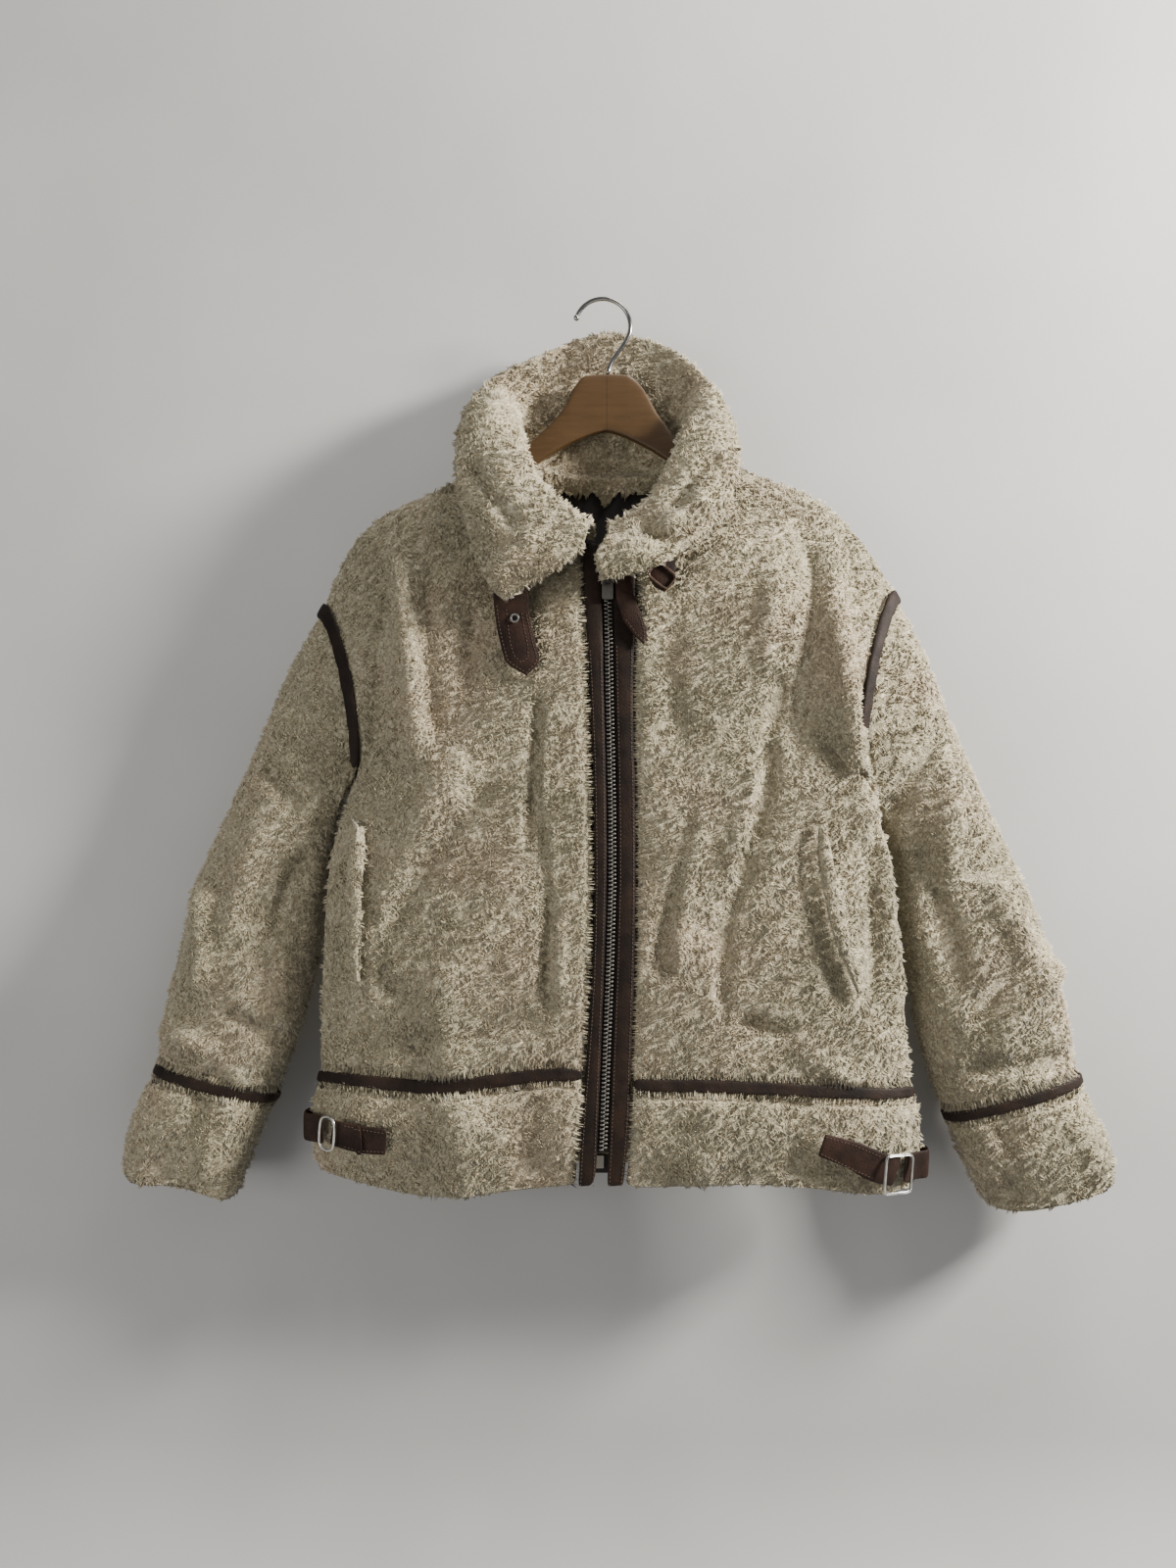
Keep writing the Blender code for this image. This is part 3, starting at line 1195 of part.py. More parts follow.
def strap_on(name, skin, line, finish, lift, thick, crown=STRAP_CROWN,
             parts=(-0.5, -0.4, 0.0, 0.4, 0.5)):
    """A strap that rests on a skin, along a table of its middle line and width."""
    t = np.linspace(line["t"].min(), line["t"].max(), 3 * len(line["t"]))
    x, z, width = read(line, "t", t, "x", "z", "width")
    run = unit(np.stack([np.gradient(x), np.gradient(z)], axis=1))
    inner = np.zeros((len(t), len(parts), 3))
    outer = np.zeros_like(inner)
    for k in range(len(t)):
        for c, part in enumerate(parts):
            px, pz = x[k] - run[k, 1] * width[k] * part, z[k] + run[k, 0] * width[k] * part
            deep = skin.depth(px, pz)
            y = deep - lift
            rise = thick + crown * (1 - (2 * part) ** 2)
            inner[k, c] = (px, y, pz)
            outer[k, c] = (px, y - rise, pz)
    return wall(name, outer, inner, finish)


def hem_straps(hems):
    front = outer_skin(hems["front", "left"], hems["front", "right"])
    strap_on("hem_strap_left", front, HEM_STRAP_LEFT, BROWN_LEATHER, STRAP_LIFT, LEATHER)
    strap_on("hem_strap_right", front, HEM_STRAP_RIGHT, BROWN_LEATHER, STRAP_LIFT, LEATHER)
    above = STRAP_LIFT + LEATHER + STRAP_CROWN + BAND_CROWN
    strap_on("hem_keeper_left", front, HEM_KEEPER_LEFT, BROWN_LEATHER, above, KEEPER_LEATHER, crown=0.0)
    for name, spec in (("hem_buckle_left", HEM_BUCKLE_LEFT), ("hem_buckle_right", HEM_BUCKLE_RIGHT)):
        wire = spec["wire"] / 2
        ends = [spec["x"] + spec["wide"] / 2 * part for part in (-0.7, 0.7)]
        deep = [front.depth(x, spec["z"]) - above - wire - spec["proud"] for x in ends]

        def lean(x, z):
            return deep[0] + (deep[1] - deep[0]) * (x - ends[0]) / (ends[1] - ends[0])

        torus_ring(name, (spec["x"], 0, spec["z"]), spec["turn"], spec["wide"], spec["high"], wire, STEEL,
                   corner=spec["corner"], lean=lean)
    back = outer_skin(hems["back"])
    for side, spec in SIDE_TAB.items():
        side_tab("hem_tab_" + side, side, front, back, spec)


def side_tab(name, side, front, back, spec):
    """A leather tab that wraps the hem's side, from its buckle in front to its seam at the back."""
    sign = -1 if side == "left" else 1
    turn = TAB_TURN
    rows = []
    for z in np.linspace(spec["z"] - spec["width"] / 2, spec["z"] + spec["width"] / 2, 4):
        path = []
        for x in np.linspace(spec["front"], spec["edge"] - sign * turn["inset"], 4):
            path.append((x, front.depth(x, z) - TAB_LIFT, z))
        turn_front = path[-1][1]
        turn_back = back.depth(spec["edge"] - sign * turn["back_inset"], z, True) + TAB_LIFT
        middle, half = (turn_front + turn_back) / 2, (turn_back - turn_front) / 2
        for degrees in turn["degrees"]:
            a = math.radians(degrees)
            reach = turn["stand_off"] + turn["radius"] * math.cos(a)
            path.append((spec["edge"] + sign * reach, middle + half * math.sin(a), z))
        for x in np.linspace(spec["edge"] - sign * turn["back_inset"], spec["back"], 4):
            path.append((x, back.depth(x, z, True) + TAB_LIFT, z))
        rows.append(path)
    inner = np.array(rows)
    across = np.gradient(inner, axis=1)
    out = unit(np.stack([across[..., 1], -across[..., 0], np.zeros(inner.shape[:2])], axis=-1))
    out *= -sign
    if (out[:, 0, 1] > 0).all():
        out = -out
    wall(name, inner + out * LEATHER, inner, BROWN_LEATHER)


def pocket_welts(grids):
    """A raised strip of fleece along each pocket's opening, with round edges."""
    for side, line in POCKET_WELT.items():
        skin = outer_skin(grids["front", side])
        strap_on("pocket_welt_" + side, skin, line, FLEECE, **POCKET_PILE)


def back_neck_facing(grids):
    """The dark strip inside the back neck, against the back panel's inner skin."""
    points, ways, _ = grids["back"]
    middle = points.shape[1] // 2
    columns = list(range(middle - 2, middle + 3))
    rows = list(range(points.shape[0] - 5, points.shape[0]))
    near = points[rows][:, columns] + ways[rows][:, columns] * (FLEECE_WALL + FACING["gap"])
    far = near + ways[rows][:, columns] * FACING["thick"]
    wall("back_neck_facing", near, far, DARK_CLOTH)


def hanger():
    """The board: a loft of rounded upright sections from tip to tip."""
    x = np.unique(np.concatenate([ARM_TOP["x"], ARM_UNDER["x"]]))
    top, under = read(ARM_TOP, "x", x, "z"), read(ARM_UNDER, "x", x, "z")
    rows = []
    middle, half = (top + under) / 2, (top - under) / 2
    round_off = np.minimum(half, HANGER_HALF) * HANGER_ROUND
    for y, up in zip(*HANGER_SECTION.values()):
        z = middle + np.sign(up) * (half - round_off * (1 - abs(up)))
        rows.append(np.stack([x, np.full_like(x, y * HANGER_HALF), z], axis=1))
    closed_loft("hanger", np.array(rows), WOOD)


def closed_loft(name, rows, finish):
    bm = bmesh.new()
    n, m = rows.shape[:2]
    verts = [[bm.verts.new(p) for p in row] for row in rows]
    for r in range(n):
        q = (r + 1) % n
        for c in range(m - 1):
            bm.faces.new((verts[r][c], verts[r][c + 1], verts[q][c + 1], verts[q][c]))
    for c in (0, m - 1):
        bm.faces.new([verts[r][c] for r in range(n)])
    return add_object(name, bm, finish, smooth=50)


def hanger_hook():
    """A bent wire: three quarters of a circle, then a swan neck down to the board's hump."""
    radius, middle = HOOK["radius"], HOOK["centre"]
    path = []
    for degrees in range(HOOK["start"], HOOK["end"] - 1, -HOOK["step"]):
        a = math.radians(degrees)
        path.append((radius * math.cos(a), 0, middle + radius * math.sin(a)))
    path += [(x, 0, z) for x, z in zip(*HOOK_NECK.values())]
    curve = bpy.data.curves.new("hanger_hook", "CURVE")
    curve.dimensions = "3D"
    curve.bevel_depth = HOOK["wire"] * MM
    curve.bevel_resolution = 2
    curve.use_fill_caps = True
    spline = curve.splines.new("POLY")
    spline.points.add(len(path) - 1)
    for point, place in zip(spline.points, path):
        point.co = (*(value * MM for value in place), 1)
    curve.materials.append(material(STEEL))
    made = bpy.data.objects.new("hanger_hook", curve)
    bpy.context.scene.collection.objects.link(made)


def main():
    clear_scene()
    grids = body_panels()
    hems = hem_bands(grids)
    sleeve_grids = sleeves(grids)
    cuff_grids = cuffs(sleeve_grids)
    bindings(grids, hems, sleeve_grids, cuff_grids)
    collar(grids)
    zip_parts(grids)
    slider_and_tab()
    collar_straps()
    hem_straps(hems)
    pocket_welts(grids)
    back_neck_facing(grids)
    hanger()
    hanger_hook()


main()
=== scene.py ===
# %% [markdown]
# This lesson dresses a sheepskin flying jacket that hangs, zipped up, on a wooden hanger. The solids come
# ready from the model: panels, collar, straps and hanger, each a plain closed wall. Here the panels get
# their pile, the leather its grain and stitches, the zip its teeth and the hanger its wood grain.

import json
import math

import bmesh
import bpy
import numpy as np
from mathutils import Matrix, Vector
from mathutils import noise as mathutils_noise
from mathutils.bvhtree import BVHTree
from mathutils.kdtree import KDTree

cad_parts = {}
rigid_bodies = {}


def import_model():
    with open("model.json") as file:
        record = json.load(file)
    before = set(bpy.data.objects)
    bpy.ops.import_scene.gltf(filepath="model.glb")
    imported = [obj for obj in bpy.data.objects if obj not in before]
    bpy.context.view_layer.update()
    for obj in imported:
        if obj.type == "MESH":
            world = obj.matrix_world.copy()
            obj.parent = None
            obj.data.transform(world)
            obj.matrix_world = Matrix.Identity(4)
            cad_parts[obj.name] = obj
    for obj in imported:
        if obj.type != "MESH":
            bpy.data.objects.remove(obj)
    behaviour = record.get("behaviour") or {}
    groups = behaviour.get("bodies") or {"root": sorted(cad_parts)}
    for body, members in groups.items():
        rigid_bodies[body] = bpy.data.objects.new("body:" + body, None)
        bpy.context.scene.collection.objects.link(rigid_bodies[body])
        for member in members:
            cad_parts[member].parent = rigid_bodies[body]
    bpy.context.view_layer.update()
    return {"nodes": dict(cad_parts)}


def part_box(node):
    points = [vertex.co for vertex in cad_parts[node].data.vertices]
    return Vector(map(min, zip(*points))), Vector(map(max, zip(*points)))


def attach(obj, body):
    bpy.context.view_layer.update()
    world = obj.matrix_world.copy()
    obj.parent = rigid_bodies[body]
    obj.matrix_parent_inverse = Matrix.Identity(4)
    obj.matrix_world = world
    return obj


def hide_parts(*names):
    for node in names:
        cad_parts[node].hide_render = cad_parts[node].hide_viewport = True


for obj in list(bpy.data.objects):
    bpy.data.objects.remove(obj)
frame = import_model()
nodes = frame["nodes"]
MM = 0.001

# %% [markdown]
# The camera goes in before the pieces, so that every later render can be set beside the photograph. It
# looks level at the front, a little over a metre away, with a lens that is nearly as wide as a phone's.

# %% The camera
camera = bpy.data.objects.new("camera", bpy.data.cameras.new("camera"))
bpy.context.scene.collection.objects.link(camera)
camera.location = (-0.0132, -1.058, -0.4338)
camera.rotation_euler = (math.radians(90), 0, 0)
camera.data.lens = 27.045
camera.data.sensor_width = 36
bpy.context.scene.camera = camera

# %% [markdown]
# Small helpers for shader trees. Each material is a Principled shader whose colour, roughness and normal
# come from a few noise patterns in object space, so they keep their size in millimetres on every piece.

# %% Shader helpers
def tree_of(name):
    made = bpy.data.materials.new(name)
    made.use_nodes = True
    made.node_tree.nodes.clear()
    return made, made.node_tree


def node(tree, kind, **values):
    made = tree.nodes.new(kind)
    for key, value in values.items():
        setattr(made, key, value)
    return made


def put(tree, source, target):
    tree.links.new(source, target)


def finish_material(tree, shader):
    output = node(tree, "ShaderNodeOutputMaterial")
    put(tree, shader.outputs[0], output.inputs[0])


def noise(tree, size_mm, detail=3.0, vector=None, rough=0.55):
    """A noise pattern whose lumps are about size_mm across."""
    made = node(tree, "ShaderNodeTexNoise")
    made.inputs["Scale"].default_value = 1 / (size_mm * MM)
    made.inputs["Detail"].default_value = detail
    made.inputs["Roughness"].default_value = rough
    if vector is None:
        vector = node(tree, "ShaderNodeTexCoord").outputs["Object"]
    put(tree, vector, made.inputs["Vector"])
    return made.outputs["Fac"]


def ramp(tree, factor, *stops):
    made = node(tree, "ShaderNodeValToRGB")
    elements = made.color_ramp.elements
    while len(elements) < len(stops):
        elements.new(0.5)
    for element, (place, colour) in zip(elements, stops):
        element.position = place
        element.color = (*colour, 1)
    put(tree, factor, made.inputs["Fac"])
    return made.outputs["Color"]


def blend(tree, factor, first, second, way="MIX"):
    made = node(tree, "ShaderNodeMix", data_type="RGBA", blend_type=way)
    for socket, value in (("Factor", factor), ("A", first), ("B", second)):
        target = made.inputs[{"Factor": 0, "A": 6, "B": 7}[socket]]
        if isinstance(value, (int, float)):
            target.default_value = value
        elif isinstance(value, tuple):
            target.default_value = (*value, 1)
        else:
            put(tree, value, target)
    return made.outputs[2]


def sums(tree, way, first, second):
    made = node(tree, "ShaderNodeMath", operation=way)
    for target, value in zip(made.inputs, (first, second)):
        if isinstance(value, (int, float)):
            target.default_value = value
        else:
            put(tree, value, target)
    return made.outputs[0]


def bump(tree, height, depth_mm, strength=1.0):
    made = node(tree, "ShaderNodeBump")
    made.inputs["Strength"].default_value = strength
    made.inputs["Distance"].default_value = depth_mm * MM
    put(tree, height, made.inputs["Height"])
    return made.outputs["Normal"]


# %% [markdown]
# Sheepskin is never one colour: whole patches lean towards pink or towards green. On top of that the pile
# is painted brown-grey at the roots and cream at the tips, as painted shade deep between the locks. Locks
# and the skin below share one group, so that their patches fall in the same places.

# %% The pile's colour group, with its painted root shade
pile_group = bpy.data.node_groups.new("pile_colour_and_root_shade", "ShaderNodeTree")
pile_group.interface.new_socket("Tone_and_shade", in_out="INPUT", socket_type="NodeSocketFloat")
pile_group.interface.new_socket("Colour", in_out="OUTPUT", socket_type="NodeSocketColor")
inside = node(pile_group, "NodeGroupInput")
outside = node(pile_group, "NodeGroupOutput")
patches = noise(pile_group, 95, 2.0)
streaks = noise(pile_group, 17, 4.0, rough=0.65)
grains = noise(pile_group, 2.6, 2.0)
warm = ramp(pile_group, patches,
            (0.34, (0.76, 0.71, 0.545)), (0.5, (0.85, 0.785, 0.61)), (0.68, (0.86, 0.755, 0.59)))
shade = ramp(pile_group, streaks, (0.3, (0.88, 0.85, 0.79)), (0.7, (1.05, 1.05, 1.04)))
mottled = blend(pile_group, 0.8, warm, shade, "MULTIPLY")
grain_shade = ramp(pile_group, grains, (0.32, (0.78, 0.74, 0.68)), (0.62, (1.08, 1.08, 1.08)))
mottled = blend(pile_group, 0.55, mottled, grain_shade, "MULTIPLY")
# Painted shade: the pile darkens from its tips down to its roots, for the shade deep between the locks.
depth = ramp(pile_group, inside.outputs["Tone_and_shade"], (0.0, (0.22, 0.185, 0.145)), (0.4, (0.46, 0.435, 0.38)),
             (1.0, (0.97, 0.97, 0.955)))
put(pile_group, blend(pile_group, 1.0, mottled, depth, "MULTIPLY"), outside.inputs["Colour"])
print("pile group ready")


# %% The fleece material
def fleece_material(name, tone_and_shade=None):
    """Pile for locks, whose tone and painted root shade are stored on each point, or for the skin that they
    grow from.
    """
    made, tree = tree_of(name)
    shader = node(tree, "ShaderNodeBsdfPrincipled")
    group = node(tree, "ShaderNodeGroup", node_tree=pile_group)
    if tone_and_shade is None:
        stored = node(tree, "ShaderNodeAttribute", attribute_name="tone_and_shade")
        put(tree, stored.outputs["Fac"], group.inputs["Tone_and_shade"])
    else:
        curls = noise(tree, 3.0, 3.0, rough=0.62)
        curls.node.inputs["Distortion"].default_value = 0.9
        # Painted shade: the skin's tone drops where the curl noise is low, in the hollows of its bump.
        curl_hollow_shade = ramp(tree, curls, (0.36, (tone_and_shade - 0.3,) * 3), (0.64, (tone_and_shade + 0.3,) * 3))
        put(tree, curl_hollow_shade, group.inputs["Tone_and_shade"])
        put(tree, bump(tree, curls, 3.0, 1.0), shader.inputs["Normal"])
    put(tree, group.outputs["Colour"], shader.inputs["Base Color"])
    shader.inputs["Roughness"].default_value = 0.92
    shader.inputs["Specular IOR Level"].default_value = 0.15
    shader.inputs["Sheen Weight"].default_value = 0.22
    shader.inputs["Sheen Roughness"].default_value = 0.55
    finish_material(tree, shader)
    return made


LOCKS = fleece_material("fleece_locks")
SKIN = fleece_material("fleece_skin", 0.5)

# %% [markdown]
# The trims are thick dark brown hide with a pebbled grain. Broad patches of it are worn a little
# lighter and smoother than the rest, which is what makes leather read as leather from a distance.

# %% Grain and wear
grain_group = bpy.data.node_groups.new("hide_grain", "ShaderNodeTree")
grain_group.interface.new_socket("Pebble", in_out="OUTPUT", socket_type="NodeSocketFloat")
grain_group.interface.new_socket("Wear", in_out="OUTPUT", socket_type="NodeSocketFloat")
outside = node(grain_group, "NodeGroupOutput")
pebble = node(grain_group, "ShaderNodeTexVoronoi", feature="SMOOTH_F1")
pebble.inputs["Scale"].default_value = 1 / (1.5 * MM)
pebble.inputs["Smoothness"].default_value = 0.5
put(grain_group, node(grain_group, "ShaderNodeTexCoord").outputs["Object"], pebble.inputs["Vector"])
fine = noise(grain_group, 0.6, 3.0)
wrinkle = noise(grain_group, 9.0, 3.0)
pebbled = sums(grain_group, "ADD", sums(grain_group, "MULTIPLY", fine, 0.35), pebble.outputs["Distance"])
put(grain_group, sums(grain_group, "ADD", pebbled, sums(grain_group, "MULTIPLY", wrinkle, 0.9)),
    outside.inputs["Pebble"])
put(grain_group, noise(grain_group, 30, 4.0, rough=0.7), outside.inputs["Wear"])


def hide_material(name, dark, light, roughness=0.6):
    made, tree = tree_of(name)
    shader = node(tree, "ShaderNodeBsdfPrincipled")
    group = node(tree, "ShaderNodeGroup", node_tree=grain_group)
    put(tree, ramp(tree, group.outputs["Wear"], (0.38, dark), (0.72, light)), shader.inputs["Base Color"])
    rough = sums(tree, "MULTIPLY_ADD", group.outputs["Wear"], -0.25)
    rough.node.inputs[2].default_value = roughness + 0.2
    put(tree, rough, shader.inputs["Roughness"])
    put(tree, bump(tree, group.outputs["Pebble"], 0.28, 0.7), shader.inputs["Normal"])
    shader.inputs["Specular IOR Level"].default_value = 0.2
    finish_material(tree, shader)
    return made


LEATHER = hide_material("brown_leather", (0.0075, 0.004, 0.0025), (0.026, 0.0135, 0.008))
STRAP_LEATHER = hide_material("strap_leather", (0.014, 0.0066, 0.0042), (0.040, 0.0195, 0.0125))


# %% Metal, cloth tape and thread
def metal_material(name, colour, roughness):
    made, tree = tree_of(name)
    shader = node(tree, "ShaderNodeBsdfPrincipled")
    smear = noise(tree, 6, 4.0)
    dull = tuple(value * 0.78 for value in colour)
    put(tree, ramp(tree, smear, (0.3, dull), (0.7, colour)), shader.inputs["Base Color"])
    rough = sums(tree, "MULTIPLY_ADD", smear, 0.2)
    rough.node.inputs[2].default_value = roughness - 0.08
    put(tree, rough, shader.inputs["Roughness"])
    shader.inputs["Metallic"].default_value = 1.0
    finish_material(tree, shader)
    return made


def thread_material(name, colour, weave_mm):
    made, tree = tree_of(name)
    shader = node(tree, "ShaderNodeBsdfPrincipled")
    yarn = noise(tree, weave_mm, 2.0)
    # Painted shade: the weave is darker where the yarn noise is low, in the hollows of its own bump.
    dark = tuple(value * 0.6 for value in colour)
    put(tree, ramp(tree, yarn, (0.35, dark), (0.65, colour)), shader.inputs["Base Color"])
    put(tree, bump(tree, yarn, 0.2, 0.8), shader.inputs["Normal"])
    shader.inputs["Roughness"].default_value = 0.85
    finish_material(tree, shader)
    return made


NICKEL = metal_material("nickel", (0.62, 0.61, 0.58), 0.28)
ZIP_METAL = metal_material("zip_metal", (0.24, 0.225, 0.2), 0.36)
SPRING_WIRE = metal_material("spring_wire", (0.34, 0.33, 0.31), 0.2)
DARK_METAL = metal_material("browned_metal", (0.16, 0.11, 0.085), 0.42)
TAPE = thread_material("dark_tape", (0.016, 0.012, 0.010), 0.8)
THREAD = thread_material("brown_thread", (0.105, 0.068, 0.046), 0.4)

# %% [markdown]
# The hanger's two arms are cut from honey brown beech, each with its grain along the arm, and meet in a
# glued joint at the middle. The grain is noise that is stretched along the arm's own slope, so the two
# sides mirror each other across the joint.

# %% The wood material
JOINT_X = 3.6
ARM_SLOPE = math.radians(-38)
WOOD, tree = tree_of("honey_wood")
shader = node(tree, "ShaderNodeBsdfPrincipled")
place = node(tree, "ShaderNodeSeparateXYZ")
put(tree, node(tree, "ShaderNodeTexCoord").outputs["Object"], place.inputs[0])
from_joint = sums(tree, "SUBTRACT", place.outputs["X"], JOINT_X * MM)
mirrored = sums(tree, "ABSOLUTE", from_joint, 0)
joined = node(tree, "ShaderNodeCombineXYZ")
for socket, value in (("X", mirrored), ("Y", place.outputs["Y"]), ("Z", place.outputs["Z"])):
    put(tree, value, joined.inputs[socket])
turned = node(tree, "ShaderNodeMapping")
turned.inputs["Rotation"].default_value = (0, ARM_SLOPE, 0)
turned.inputs["Scale"].default_value = (0.12, 1, 1)
put(tree, joined.outputs[0], turned.inputs["Vector"])
rings = noise(tree, 5.0, 5.0, turned.outputs[0], 0.6)
pores = noise(tree, 0.9, 2.0, turned.outputs[0])
grain = ramp(tree, rings,
             (0.3, (0.056, 0.028, 0.0075)), (0.52, (0.070, 0.036, 0.010)), (0.7, (0.084, 0.044, 0.014)))
fleck = ramp(tree, pores, (0.42, (0.90, 0.88, 0.84)), (0.56, (1.0, 1.0, 1.0)))
wood_colour = blend(tree, 0.7, grain, fleck, "MULTIPLY")
near_joint = ramp(tree, sums(tree, "MULTIPLY", mirrored, 1 / MM), (0.28, (0.55, 0.5, 0.45)), (0.5, (1, 1, 1)))
put(tree, blend(tree, 1.0, wood_colour, near_joint, "MULTIPLY"), shader.inputs["Base Color"])
put(tree, bump(tree, pores, 0.1, 0.4), shader.inputs["Normal"])
shader.inputs["Roughness"].default_value = 0.42
shader.inputs["Coat Weight"].default_value = 0.15
finish_material(tree, shader)

# %% [markdown]
# A ray cast from a panel tells what lies in front of it: nothing where the pile shows, the inside of the
# same jacket where the panel faces its lining, or a neighbour's seam edge a fraction of a millimetre away.

# %% What each ray meets
def merged(name):
    """A welded copy of a solid as a bmesh, with its loose triangles joined to quads again."""
    bm = bmesh.new()
    bm.from_mesh(nodes[name].data)
    bmesh.ops.remove_doubles(bm, verts=bm.verts, dist=2e-6)
    bmesh.ops.join_triangles(bm, faces=bm.faces, angle_face_threshold=math.radians(28),
                             angle_shape_threshold=math.radians(60))
    bm.normal_update()
    return bm


solid_points, solid_faces, face_owner = [], [], []
for name, solid in nodes.items():
    start = len(solid_points)
    solid_points += [v.co.copy() for v in solid.data.vertices]
    solid_faces += [[start + i for i in p.vertices] for p in solid.data.polygons]
    face_owner += [name] * len(solid.data.polygons)
all_solids = BVHTree.FromPolygons(solid_points, solid_faces)


def sees(point, way, start=0.5 * MM):
    """The solid that a ray meets and how far away it is, or None and a long way."""
    _, _, index, reach = all_solids.ray_cast(point + way * start, way)
    return (None, 9.0) if index is None else (face_owner[index], reach)


print(len(solid_faces), "faces to look at")

# %% [markdown]
# Each fleece panel becomes a skin that sits a pile's depth below the solid's surface, so that the locks
# reach just as far as the solid does. Only the side that shows is drawn in. Where the solid is thin, as in
# the grooves under the leather bindings, the skin stays put.

# %% The panels and what belongs together
TRUNK = {"front_left", "front_right", "back", "hem_front_left", "hem_front_right", "hem_back", "hanger",
         "back_neck_facing", "zip_tape_left", "zip_tape_right", "placket_left", "placket_right", "zip_chain",
         "hem_binding_back", "hem_binding_front_left", "hem_binding_front_right"}
GROUPS = {name: TRUNK for name in TRUNK}
for side in ("left", "right"):
    arm = {"sleeve_" + side, "cuff_" + side, "cuff_binding_" + side}
    for name in ("sleeve_" + side, "cuff_" + side):
        GROUPS[name] = arm
FLEECE = ["front_left", "front_right", "back", "hem_front_left", "hem_front_right", "hem_back",
          "sleeve_left", "sleeve_right", "cuff_left", "cuff_right", "collar",
          "pocket_welt_left", "pocket_welt_right"]
PRESSES = ("armhole", "cuff_binding", "hem_binding", "hem_strap", "hem_tab", "hem_buckle", "placket",
           "pocket", "collar_strap", "collar_buckle")
OUTER, COVERED, INNER = 0, 1, 2
SEAM_REACH = 2.5 * MM
OWN_REACH = 12 * MM
PILE_DEPTH = 4.0 * MM
THINNEST = 3.0 * MM


def kind_of(name, centre, normal):
    met, reach = sees(centre, normal)
    if met == name and reach < OWN_REACH:
        met, reach = sees(centre, normal, reach + 1.5 * MM)
    if met is None:
        return OUTER
    if reach < SEAM_REACH and met.startswith(PRESSES):
        return COVERED
    if reach < SEAM_REACH and met != name and name != "collar":
        return INNER
    if met in GROUPS.get(name, ()):
        return INNER
    return OUTER


# %% [markdown]
# A coat that has hung and been worn has soft folds. Each one here is given as a line seen from the
# front or the back, with its width and its height in millimetres: above zero is a ridge, below it a trough.
# They are sharper than the solids' own folds, and no two are alike.

# %% The creases
FRONT_CREASES = (
    (-62, -366, -60, -476, 5, -5.0), (-60, -470, -43, -622, 5.5, -5.0), (-52, -372, -49, -470, 7, 2.6),
    (-49, -480, -32, -610, 8, 3.0), (-175, -235, -168, -405, 11, 5.5), (-196, -240, -190, -400, 8, -4.5),
    (-150, -250, -146, -380, 9, -3.0), (-120, -420, -196, -545, 13, 3.5), (-104, -436, -178, -560, 9, -3.5),
    (-205, -520, -196, -600, 6, -4.0), (-196, -600, -160, -622, 6, -4.0), (-96, -560, -180, -672, 12, 3.0),
    (-128, -600, -134, -690, 14, 4.0), (-60, -640, -180, -668, 9, -3.0), (-110, -290, -120, -350, 10, -3.0),
    (151, -345, 143, -417, 6, -5.0), (143, -412, 121, -505, 6, -5.5), (121, -500, 101, -572, 6, -5.0),
    (101, -566, 106, -618, 6, -4.0), (136, -420, 112, -520, 8, 3.0), (71, -470, 54, -590, 7, -4.0),
    (82, -470, 66, -585, 8, 3.5), (104, -634, 166, -645, 6, -4.5), (110, -622, 170, -632, 8, 2.5),
    (205, -232, 208, -400, 11, 5.0), (178, -236, 176, -400, 8, -4.5), (212, -350, 249, -611, 12, 5.5),
    (228, -470, 240, -611, 7, -4.5), (176, -480, 205, -615, 7, -3.0), (150, -250, 145, -330, 9, 3.0),
    (60, -300, 66, -400, 12, -2.5), (160, -650, 220, -690, 9, 3.0),
    (-352, -530, -360, -610, 9, 5.0), (-372, -545, -380, -600, 7, -4.0), (-300, -420, -268, -455, 8, -4.5),
    (-296, -470, -330, -560, 12, 4.0), (-270, -500, -300, -620, 10, -4.0), (-330, -640, -276, -664, 8, -4.5),
    (-392, -650, -340, -668, 8, 4.0), (-345, -690, -392, -775, 8, -5.0), (-320, -700, -350, -780, 10, 3.5),
    (300, -380, 262, -455, 8, -4.5), (318, -420, 300, -520, 13, 4.0), (280, -500, 322, -610, 10, -4.5),
    (350, -520, 392, -610, 12, 4.5), (392, -560, 330, -640, 8, -4.5), (410, -600, 345, -668, 9, 4.0),
    (330, -690, 420, -672, 8, -4.0), (352, -730, 362, -800, 9, -4.0), (420, -720, 440, -780, 9, 4.0),
    (-120, -700, -124, -780, 16, 5.0), (-60, -705, -64, -772, 12, -3.0), (90, -705, 84, -775, 14, 3.0),
    (160, -706, 168, -775, 12, -3.0),
    (-112, -160, -74, -215, 7, -3.0), (-60, -225, -92, -262, 9, 3.0), (96, -150, 62, -200, 7, -3.5),
    (30, -215, 78, -236, 7, -3.0), (84, -190, 50, -222, 8, 3.0),
)
BACK_CREASES = (
    (-120, -230, -66, -420, 10, -4.5), (128, -225, 84, -430, 11, -4.5), (-30, -470, -56, -680, 9, -4.0),
    (64, -520, 84, -690, 9, -4.5), (-150, -520, -168, -690, 9, -4.5), (8, -190, 4, -330, 9, -3.0),
    (-96, -240, -50, -400, 12, 3.5), (104, -240, 66, -420, 12, 3.5), (150, -520, 170, -680, 10, 3.5),
    (-200, -330, -210, -500, 10, 3.5), (206, -320, 216, -500, 10, 3.5), (-80, -600, 40, -622, 9, -3.5),
    (-130, -700, -126, -780, 14, 4.0), (110, -700, 116, -775, 14, 4.0),
    (-300, -420, -330, -560, 11, 4.0), (-276, -470, -300, -610, 9, -4.5), (-330, -560, -390, -612, 8, -4.5),
    (-300, -650, -390, -668, 8, -4.0), (316, -420, 340, -560, 11, 4.0), (286, -480, 316, -620, 9, -4.5),
    (340, -560, 410, -620, 8, -4.5), (320, -660, 410, -680, 8, -4.0), (-350, -700, -372, -780, 9, -4.0),
    (372, -740, 384, -800, 9, -4.0),
)


CREASE_SHARE = 1.6


